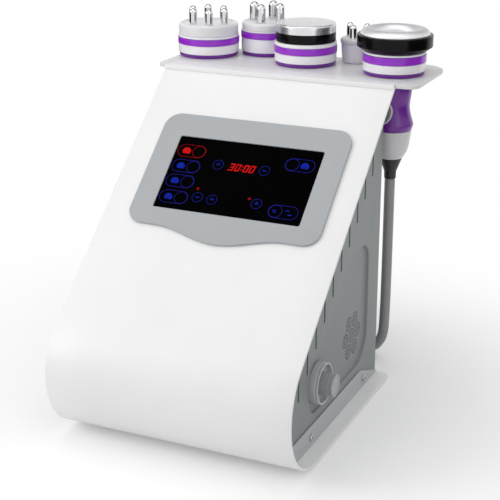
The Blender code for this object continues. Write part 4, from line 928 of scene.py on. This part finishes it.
# ---- Feet ---------------------------------------------------------------------------------------------
# Four turned rubber feet under the base sheet.
foot_rubber = moulded("foot_rubber", "202022", 0.7, 0.8, 0.05)
foot = joined([lathe(soften([(0, 0.0022), (0.009, 0.0022), (0.009, 0), (0, 0)], 0.0008, 3), steps=48)])
foot_places = [((x, y, 0.0), (0, 0, 0)) for x in (-0.115, 0.115) for y in (nose.y, rear_y - 0.030)]
set_out("rubber_feet", foot, foot_places, foot_rubber, "chassis",
        ["foot_front_left", "foot_rear_left", "foot_front_right", "foot_rear_right"], "rubber")


# ---- Screen -------------------------------------------------------------------------------------------
# A moulded grey frame with a low belly lies on the sloping cover; a black glass touch panel sits in it with
# its controls lit from behind in red and blue.
bezel_abs = moulded("grey_moulded_abs", "ADB1B4", 0.42, 0.9, 0.015, 0.012)
screen_half, screen_tall = 0.0891, 0.0489
to_slant = Matrix.Translation(screen) @ Matrix((
    (1, 0, 0, 0), (0, slant_along.y, slant_out.y, 0), (0, slant_along.z, slant_out.z, 0), (0, 0, 0, 1)))
bezel_half, bezel_top, bezel_low = 0.11625, screen_tall + 0.0307, -screen_tall - 0.0223
bezel_loop = rectangle(0, (bezel_low + bezel_top) / 2, 2 * bezel_half, bezel_top - bezel_low, 0.019, 16)
belly_half, belly = 0.0788, 0.0145
bezel_belly = [Vector((belly_half * t / 32, bezel_low - belly * (1 + math.cos(math.pi * t / 32)) / 2))
               for t in range(-32, 33)]
bezel_loop = bezel_loop[:17] + bezel_belly + bezel_loop[17:]
bezel = flat([bezel_loop, rectangle(0, 0, 2 * screen_half, 2 * screen_tall, 0.0022, 6)], 0.003, 0.0007, 3)
mounted("moulded_bezel", bezel, bezel_abs, "chassis",
        to_slant @ Matrix.Translation((0, 0, 0.0018)), ["screen_bezel"])


# Black-backed glass with a matt anti-glare face, so it hardly mirrors, and faint wiping marks in its gloss.
screen_black, screen_ior = colour("020203"), 1.04
glass = Finish("black_backed_glass", Base_Color=screen_black, IOR=screen_ior)
glass.spread("Roughness", glass.noise(28.0, 5.0, 0.6), (0.4, 0.7), 0.16, 0.24)
pane = flat([rectangle(0, 0, 2 * screen_half - 0.0006, 2 * screen_tall - 0.0006, 0.0021, 6)], 0.0044, 0.0003)
pane.transform(Matrix.Translation((0, 0, 0.0002)))
flange = flat([rectangle(0, 0, 0.1860, 0.1056, 0.001, 3)], 0.0020, 0.0002)
flange.transform(Matrix.Translation((0, 0, -0.0012)))
mounted("touch_glass", welded([pane, flange]), glass.material, "chassis", to_slant, ["touch_panel"])


def glowing(name, code, strength):
    """A control lit from behind: its colour, a little uneven as a backlight is."""
    made = Finish(name, Base_Color=screen_black, IOR=screen_ior, Roughness=0.4, Emission_Color=colour(code))
    made.spread("Emission Strength", made.noise(220.0), (0.3, 0.7), strength * 0.75, strength * 1.2)
    return made.material


glow_lift, glow_thickness = 0.0024, 0.00006
ring_width = 0.0006


def pill_loop(x, y, width, high):
    return rectangle(x, y, width, high, high / 2 * 0.998, 12)


def control(name, groups, material):
    """Graphics of one colour: each group is an outline and its holes, laid on the glass, measured from the
    cover's middle."""
    mounted(name, welded([flat(loops, glow_thickness) for loops in groups]), material, "chassis",
            to_slant @ Matrix.Translation((-screen.x, 0, glow_lift + glow_thickness / 2 + 0.00002)))


def ring_group(x, y, radius):
    """A thin lit ring, as its outline and its hole."""
    return [round_hole(x, y, radius, 40), round_hole(x, y, radius - ring_width, 40)]


def pill_group(x, y, width, high):
    """A thin lit pill shape, as its outline and its hole."""
    return [pill_loop(x, y, width, high), pill_loop(x, y, width - 2 * ring_width, high - 2 * ring_width)]


def digit_group(x, y, digit, wide=0.0059, high=0.0098, bar=0.0016, lean=0.22):
    """One leaning display digit as an outline and its hole."""
    w, h = wide / 2, high / 2
    if digit == "0":
        loops = [rectangle(0, 0, wide, high, 0.0006, 2), rectangle(0, 0, wide - 2 * bar, high - 2 * bar)]
    else:
        loops = [[(-w, -h), (w, -h), (w, h), (-w, h), (-w, h - bar), (w - bar, h - bar), (w - bar, bar / 2),
                  (-w * 0.6, bar / 2), (-w * 0.6, -bar / 2), (w - bar, -bar / 2), (w - bar, bar - h),
                  (-w, bar - h)]]
    return [[Vector((x + p[0] + p[1] * lean, y + p[1])) for p in loop] for loop in loops]


def figure(x, y, size):
    """The picture on a programme button, as one plain rounded blob."""
    corners = [(-0.75, -0.65), (0.75, -0.70), (0.95, 0.05), (0.30, 0.75), (-0.55, 0.70), (-0.95, 0.05)]
    return [[Vector((x, y)) + size * p for p in rounded(corners, [0.32] * 6, 4)]]


led_red = glowing("red_backlight", "EE1A1A", 0.72)
led_red_dim = glowing("red_outline_backlight", "B8141C", 0.52)
led_blue = glowing("blue_backlight", "1E38D8", 0.46)
led_blue_dim = glowing("blue_outline_backlight", "2C2CA8", 0.52)

pill_wide, pill_high, pill_knob = 0.0355, 0.0170, 0.00825
left_pills = [(-0.0660, 0.0297), (-0.0660, 0.0089), (-0.0660, -0.0115), (-0.0660, -0.0331)]
right_pills = [(0.0685, 0.0278), (0.0682, -0.0338)]
knobs = [(-0.0276, 0.0160), (0.0296, 0.0153), (-0.0374, -0.0296), (-0.0191, -0.0302), (0.0345, -0.0279)]
dim = []
for x, y in left_pills[1:]:
    dim += [pill_group(x, y, pill_wide, pill_high), ring_group(x + 0.0092, y, pill_knob - 0.0002)]
for x, y in right_pills:
    dim += [pill_group(x, y, pill_wide, pill_high), ring_group(x - 0.0092, y, pill_knob - 0.0002)]
for x, y in knobs:
    dim.append(ring_group(x, y, 0.0065))
control("blue_outlines", dim, led_blue_dim)
x, y = left_pills[0]
control("red_outline", [pill_group(x, y, pill_wide, pill_high),
                        ring_group(x + 0.0092, y, pill_knob - 0.0002)], led_red_dim)
blobs = [figure(x - 0.0062, y, 0.0056) for x, y in left_pills[1:]]
blobs.append(figure(right_pills[0][0] + 0.0062, right_pills[0][1], 0.0056))
for x, y in knobs:
    blobs.append([rectangle(x, y, 0.0048, 0.0013, 0.0003, 2)])
for k in (0, 3, 4):
    x, y = knobs[k]
    blobs.append([rectangle(x, y + 0.0022, 0.0026, 0.0010, 0.0002, 2)])
x, y = right_pills[1]
for px, py, w in ((-0.0110, 0.0010, 0.0048), (-0.0100, -0.0014, 0.0040), (0.0045, 0.0024, 0.0052),
                  (0.0085, -0.0026, 0.0050)):
    blobs.append([rectangle(x + px, y + py, w, 0.0011, 0.0003, 2)])
control("blue_marks", blobs, led_blue)
x, y = left_pills[0]
reds = [figure(x - 0.0062, y, 0.0058)]
for k, digit in enumerate("3000"):
    reds.append(digit_group(-0.0104 + 0.0075 * k + (0.0028 if k > 1 else 0), 0.0151, digit))
for py in (-0.0020, 0.0020):
    reds.append([round_hole(0.0022 + py * 0.22, 0.0151 + py, 0.0009, 16)])
control("red_marks", reds, led_red)
control("red_dots", [[round_hole(-0.0406, -0.0185, 0.0018)], [round_hole(0.0241, -0.0226, 0.0018)]],
        led_red_dim)


# ---- Filter fitting -----------------------------------------------------------------------------------
# On the right panel: a round grey housing with a ring-shaped recess, and the cup that pulls off it, a
# moulded sleeve with a thin bright end ring.
to_right = Matrix(((0, 0, 1, panel_x - pocket_depth + 0.0003), (0, 1, 0, filter_y),
                   (-1, 0, 0, filter_z), (0, 0, 0, 1)))
# Moulded polycarbonate: smooth and satin. The housing is paler than the cup: a painted highlight laid over
# the housing's shaded side.
housing_abs_painted_light = moulded("filter_housing_polycarbonate_painted_light", "C2C6C8", 0.34, 1.0, 0.01, 0.02, coat=0.15)
filter_abs = moulded("grey_filter_polycarbonate", "A2A5A8", 0.28, 1.0, 0.01, 0.02, coat=0.25)
housing_profile = soften([
    (0, 0.017), (0.0102, 0.017), (0.0102, 0.005), (0.0213, 0.005), (0.0213, 0.011), (0.0235, 0.011),
    (0.0235, 0.0092), (0.0227, 0.0089), (0.0227, 0.0077), (0.0235, 0.0074), (0.0235, 0), (0.0075, 0),
    (0.0075, -0.014), (0, -0.014)], 0.0006, 4)
fit("filter_boss", lathe(housing_profile), housing_abs_painted_light, "chassis", to_right, ["filter_housing"])
cup_profile = [(0, 0.0228), (0.0098, 0.0228), (0.0104, 0.0235), (0.0124, 0.0235), (0.0130, 0.0229),
               (0.0130, 0.0200), (0.0126, 0.0197), (0.0126, 0.0192), (0.0130, 0.0189), (0.0130, 0.0053),
               (0.0105, 0.0053), (0.0105, 0.0190), (0, 0.0190)]
fit("filter_sleeve", lathe(soften(cup_profile, 0.0004, 3)), filter_abs, "filter_cup", to_right,
    ["filter_cup"])


# ---- Handpieces ---------------------------------------------------------------------------------------
# Five applicators stand in the tray's holes. Each big one is a purple moulded grip with a pale lower end, a
# white head body with a purple band let into it, and its own working face on top.
purple_abs = moulded("purple_moulded_abs", "9A20D0", 0.30, 1.1, 0.006, 0.02, coat=0.3)
white_abs = moulded("white_glossy_abs", "F9F8FA", 0.26, 1.0, 0.006, 0.008, coat=0.3)
# The grips' purple is the bands' purple darkened to about half. This is painted shade for the shadow that the
# tray casts on the grips.
grip_abs_painted_shade = moulded("grip_purple_abs_painted_shade", "6F1798", 0.32, 1.1, 0.008, 0.02, coat=0.2)
pale_abs = moulded("pale_grey_abs", "D6D6D8", 0.34, 1.0, 0.008, 0.012, coat=0.15)
lid_abs = moulded("pale_lid_abs", "EAEAEC", 0.34, 1.0, 0.008, 0.012, coat=0.15)
inlay_abs = moulded("inlay_grey_abs", "808488", 0.40, 0.8, 0.01, 0.02)
black_abs = moulded("black_glossy_abs", "070708", 0.24, 1.2, 0.006, 0.02, coat=0.05, ior=1.22)
chrome_plate = metal("chrome_plate", "DCDCDE", 0.09, 3.0, 0.004)
satin_chrome = metal("satin_chrome_plate", "ECECEE", 0.56, 0.8, 0.004)
stand_z = cover_height + 0.0003
tail_top, tail_length = stand_z - 0.0671, 0.035


def at(place, z=0.0):
    return Matrix.Translation((place.x, place.y, z))


def blended(points, per_span=6):
    """A turned profile's smooth stretch: points on one curve through (radius, height) pairs."""
    return [Vector((p.x, p.y)) for p in along_curve([(r, h, 0) for r, h in points], per_span)]


def round_over(edge, top, radius):
    """A turned profile's quarter round, from its top out to its edge."""
    turns = [math.radians(a) for a in range(0, 91, 9)]
    return [(edge - radius + radius * math.sin(a), top - radius * (1 - math.cos(a))) for a in turns]


def inlay(handle, width, high, proud, turn=math.radians(-100), steps=40, rows=6):
    """An oval skin laid on the grip's waist and let into it, facing forwards."""
    inlay_z = stand_z - 0.0435

    def on_grip(across, up, reach):
        level = inlay_z + up
        upper, lower = next((a, b) for a, b in zip(handle, handle[1:]) if b.y <= level)
        t = (upper.y - level) / (upper.y - lower.y)
        radius = upper.x + (lower.x - upper.x) * t
        angle = turn + across / radius
        return Vector(((radius + reach) * math.cos(angle), (radius + reach) * math.sin(angle), level))

    verts, faces = [], []
    for reach in (proud, -0.0008):
        verts.append(on_grip(0, 0, reach))
        for row in range(1, rows + 1):
            fall = 0.0002 if row == rows and reach > 0 else 0
            for k in range(steps):
                a = 2 * math.pi * k / steps
                share = row / rows
                verts.append(on_grip(width * share * math.cos(a), high * share * math.sin(a), reach - fall))
    sheet_size = 1 + rows * steps
    for first, turned_over in ((0, False), (sheet_size, True)):
        for k in range(steps):
            n = (k + 1) % steps
            face = [first, first + 1 + k, first + 1 + n]
            faces.append(face[::-1] if turned_over else face)
            for row in range(rows - 1):
                a, b = first + 1 + row * steps, first + 1 + (row + 1) * steps
                face = [a + k, b + k, b + n, a + n]
                faces.append(face[::-1] if turned_over else face)
    outer, under = 1 + (rows - 1) * steps, sheet_size + 1 + (rows - 1) * steps
    for k in range(steps):
        n = (k + 1) % steps
        faces.append([outer + k, under + k, under + n, outer + n])
    return verts, faces


def grip_and_tail(prefix, place, flange, gland=True):
    """A waisted grip under a flange that rests on the tray, its inlay, and the pale cone below it."""
    body = prefix + "_handpiece"
    handle = blended([(0.0222, stand_z - 0.0030), (0.0222, stand_z - 0.020), (0.0202, stand_z - 0.037),
                      (0.0216, stand_z - 0.048), (0.0252, stand_z - 0.0600)], 8)
    profile = [(0, stand_z + 0.0042), (flange, stand_z + 0.0042), (flange - 0.0006, stand_z),
               (0.0222, stand_z)] + handle
    profile += [(0.0250, stand_z - 0.0622), (0.0234, stand_z - 0.0668), (0.008, stand_z - 0.0668),
                (0.008, stand_z - 0.0728), (0, stand_z - 0.0728)]
    fit(prefix + "_handle", lathe(soften(profile, 0.0009, 4)), grip_abs_painted_shade, body, at(place),
        [prefix + "_grip"])
    for name, width, high, proud, finish in (("_inlay_rim", 0.0105, 0.0140, 0.0003, pale_abs),
                                             ("_inlay", 0.0086, 0.0120, 0.0005, inlay_abs)):
        fit(prefix + name, inlay(handle, width, high, proud), finish, body, at(place))
    top = tail_top
    low = top - tail_length
    cone = blended([(0.0234, top - 0.0005), (0.0223, top - 0.00875), (0.0196, top - 0.0245),
                    (0.0140, low)], 8)
    profile = [(0.0083, top), (0.0226, top)] + cone
    if gland:
        profile += [(0.0108, low - 0.0002), (0.0105, low - 0.005), (0, low - 0.005)]
    else:
        profile += [(0, low)]
    profile += [(0, top - 0.0063), (0.0083, top - 0.0063)]
    fit(prefix + "_lower_end", lathe(soften(profile, 0.0005, 3), ring=True), pale_abs, body, at(place),
        [prefix + "_tail"])


def banded_head(prefix, place, radius, white_part, band, thin):
    """White head body with its purple band in a groove. Returns the height that the next piece starts at."""
    body = prefix + "_handpiece"
    low = cover_height + 0.0048
    skin, groove = radius - 0.0006, radius - 0.0030
    band_low, band_top = low + white_part, low + white_part + band
    top = band_top + thin
    profile = [(0, top), (skin, top), (skin, band_top), (groove, band_top), (groove, band_low),
               (skin, band_low), (skin, low), (0, low)]
    fit(prefix + "_shell", lathe(soften(profile, 0.0007, 4)), white_abs, body, at(place), [prefix + "_body"])
    profile = [(groove + 0.0003, band_top - 0.0003), (radius, band_top - 0.0003),
               (radius, band_low + 0.0003), (groove + 0.0003, band_low + 0.0003)]
    fit(prefix + "_stripe", lathe(soften(profile, 0.0006, 4, closed=True), ring=True), purple_abs, body,
        at(place), [prefix + "_band"])
    return top + 0.0003


def electrode_cap(prefix, place, radius, low, high):
    """Pale cap with a soft round shoulder and a shallow dish that the pins stand in."""
    edge, top, shoulder, dish = radius - 0.0014, low + high, 0.0032, 0.0012
    crest = edge - shoulder
    profile = [(0, top - dish), (crest - 0.0006 - dish, top - dish), (crest - 0.0006, top)]
    profile += round_over(edge, top, shoulder)
    fit(prefix + "_lid", lathe(soften(profile + [(edge, low), (0, low)], 0.0005, 3)), lid_abs,
        prefix + "_handpiece", at(place), [prefix + "_cap"])
    return top - dish


def electrodes(prefix, place, radius, high, floor_z, places):
    """Chrome domed pins, one mesh set out by Geometry Nodes."""
    dome = round_over(radius, high, radius)
    pin = joined([lathe([(0, high)] + dome[1:] + [(radius, -0.0060), (0, -0.0060)], steps=48)])
    spots = [((place.x + x, place.y + y, floor_z), (0, 0, 0)) for x, y in places]
    set_out(prefix + "_electrodes", pin, spots, chrome_plate, prefix + "_handpiece", [prefix + "_pins"],
            "chrome")


def pin_ring(count, radius, turn):
    """Places of the pins on their ring."""
    return [tuple(p) for p in round_hole(0, 0, radius, count, math.radians(turn))]


# Six-pin handpiece: a dished pale cap with a ring of six pins.
grip_and_tail("six_pin", six_place, 0.0368)
top = banded_head("six_pin", six_place, 0.0382, 0.0107, 0.0082, 0.0027)
top = electrode_cap("six_pin", six_place, 0.0382, top, 0.0135)
electrodes("six_pin", six_place, 0.0047, 0.0198, top, pin_ring(6, 0.0222, -3))

# Four-pin handpiece: a tall white body and four thicker pins.
grip_and_tail("four_pin", four_place, 0.0312)
top = banded_head("four_pin", four_place, 0.0326, 0.0168, 0.0080, 0.0017)
top = electrode_cap("four_pin", four_place, 0.0326, top, 0.0092)
electrodes("four_pin", four_place, 0.0058, 0.0238, top, pin_ring(4, 0.0177, -2))

# Cavitation handpiece: a black collar and the flat metal sound head.
# Turned stainless steel, finely faced: the turning marks spread the light round the middle.
grip_and_tail("cavitation", cavitation_place, 0.0368)
top = banded_head("cavitation", cavitation_place, 0.0382, 0.0101, 0.0085, 0.0045)
edge = 0.0364
fit("cavitation_neck_ring", lathe(soften([(0, top + 0.0109), (edge, top + 0.0109), (edge, top + 0.0008),
                                          (edge - 0.0008, top), (0, top)], 0.0005, 3)),
    black_abs, "cavitation_handpiece", at(cavitation_place), ["cavitation_collar"])
disc_low, disc_top = top + 0.0112, top + 0.0214
steel = metal("faced_stainless_steel", "DEDEE0", 0.27, 0.6, 0.003)
disc_round = round_over(edge, disc_top, 0.0020)
fit("cavitation_sound_head", lathe([(0, disc_top)] + disc_round + [(edge, disc_low), (0, disc_low)]), steel,
    "cavitation_handpiece", at(cavitation_place), ["cavitation_disc"])

# Facial handpiece: a slim pale wand with a wider cap and three short pins.
z = stand_z
facial = blended([(0.0125, z - 0.0020), (0.0125, z - 0.030), (0.01075, z - 0.060), (0.0125, z - 0.085),
                  (0.0075, z - 0.100)], 8)
facial_profile = [(0, z + 0.0232), (0.0186, z + 0.0232), (0.0172, z + 0.0008), (0.0166, z),
                  (0.0125, z)] + facial + [(0, z - 0.100)]
fit("facial_wand", lathe(soften(facial_profile, 0.0008, 4)), white_abs, "facial_handpiece",
    at(facial_place), ["facial_grip"])
top = electrode_cap("facial", facial_place, 0.0211, z + 0.0235, 0.0062)
electrodes("facial", facial_place, 0.0042, 0.0176, top, pin_ring(3, 0.0125, 30))

# Suction handpiece: a black ring wider than the head, a polished cup let into it, a rubber relief below.
grip_and_tail("vacuum", vacuum_place, 0.0359, gland=False)
top = banded_head("vacuum", vacuum_place, 0.0373, 0.0100, 0.0095, 0.0024)
rim = top + 0.0190
ring_profile = [(0.0395, rim), (0.0442, rim), (0.0442, top + 0.0055), (0.0367, top), (0, top),
                (0, rim - 0.0153), (0.0395, rim - 0.0153)]
fit("suction_ring", lathe(soften(ring_profile, 0.0008, 4), ring=True), black_abs, "vacuum_handpiece",
    at(vacuum_place), ["vacuum_ring"])
half = (0.0408 - 0.0215) / 2
crown = [(0.0215 + half + half * math.cos(math.radians(a)), rim + 0.0003 + 0.0067 * math.sin(math.radians(a)))
         for a in range(180, -1, -9)]
cup_floor = rim - 0.0115
cup_shape = [(0, cup_floor)] + blended([(0.0120, cup_floor), (0.0190, cup_floor + 0.0016),
                                        (0.0213, cup_floor + 0.0060), (0.0215, rim - 0.0010)], 6)
cup_shape += crown + [(0.0392, rim + 0.0003), (0.0392, rim - 0.0150), (0, rim - 0.0150)]
fit("suction_cup", lathe(soften(cup_shape, 0.0005, 3)), satin_chrome, "vacuum_handpiece",
    at(vacuum_place), ["vacuum_cup"])
low = tail_top - tail_length - 0.0003
relief_profile = [(0, low), (0.0137, low)]
relief_profile += [(0.0137 - 0.0061 * t / 10, low - 0.0158 * t / 10) for t in range(1, 11)]
relief_profile += [(0.0073, low - 0.0170), (0.0070, low - 0.0255), (0, low - 0.0255)]
fit("hose_relief", lathe(soften(relief_profile, 0.0006, 4)), relief_rubber, "vacuum_handpiece",
    at(vacuum_place), ["vacuum_relief"])


# ---- Inside -------------------------------------------------------------------------------------------
# Fan, electronics, supply and pump behind the panels, seen only through the slots and grille.
board_resin = moulded("green_board_resin", "1E5A34", 0.45, 3.0, 0.01, 0.08)
supply_zinc = metal("galvanised_supply_can", "B4B6B8", 0.35, 6.0, 0.01)
fan_nylon = moulded("black_fan_nylon", "18181A", 0.45, 1.0, 0.02)
for name, finish in {
    "control_board": board_resin, "driver_board": board_resin, "power_supply": supply_zinc,
    "vacuum_pump": fan_nylon, "fan_frame": fan_nylon, "fan_rotor": fan_nylon,
}.items():
    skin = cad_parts[name].data.materials
    skin.clear()
    skin.append(finish)
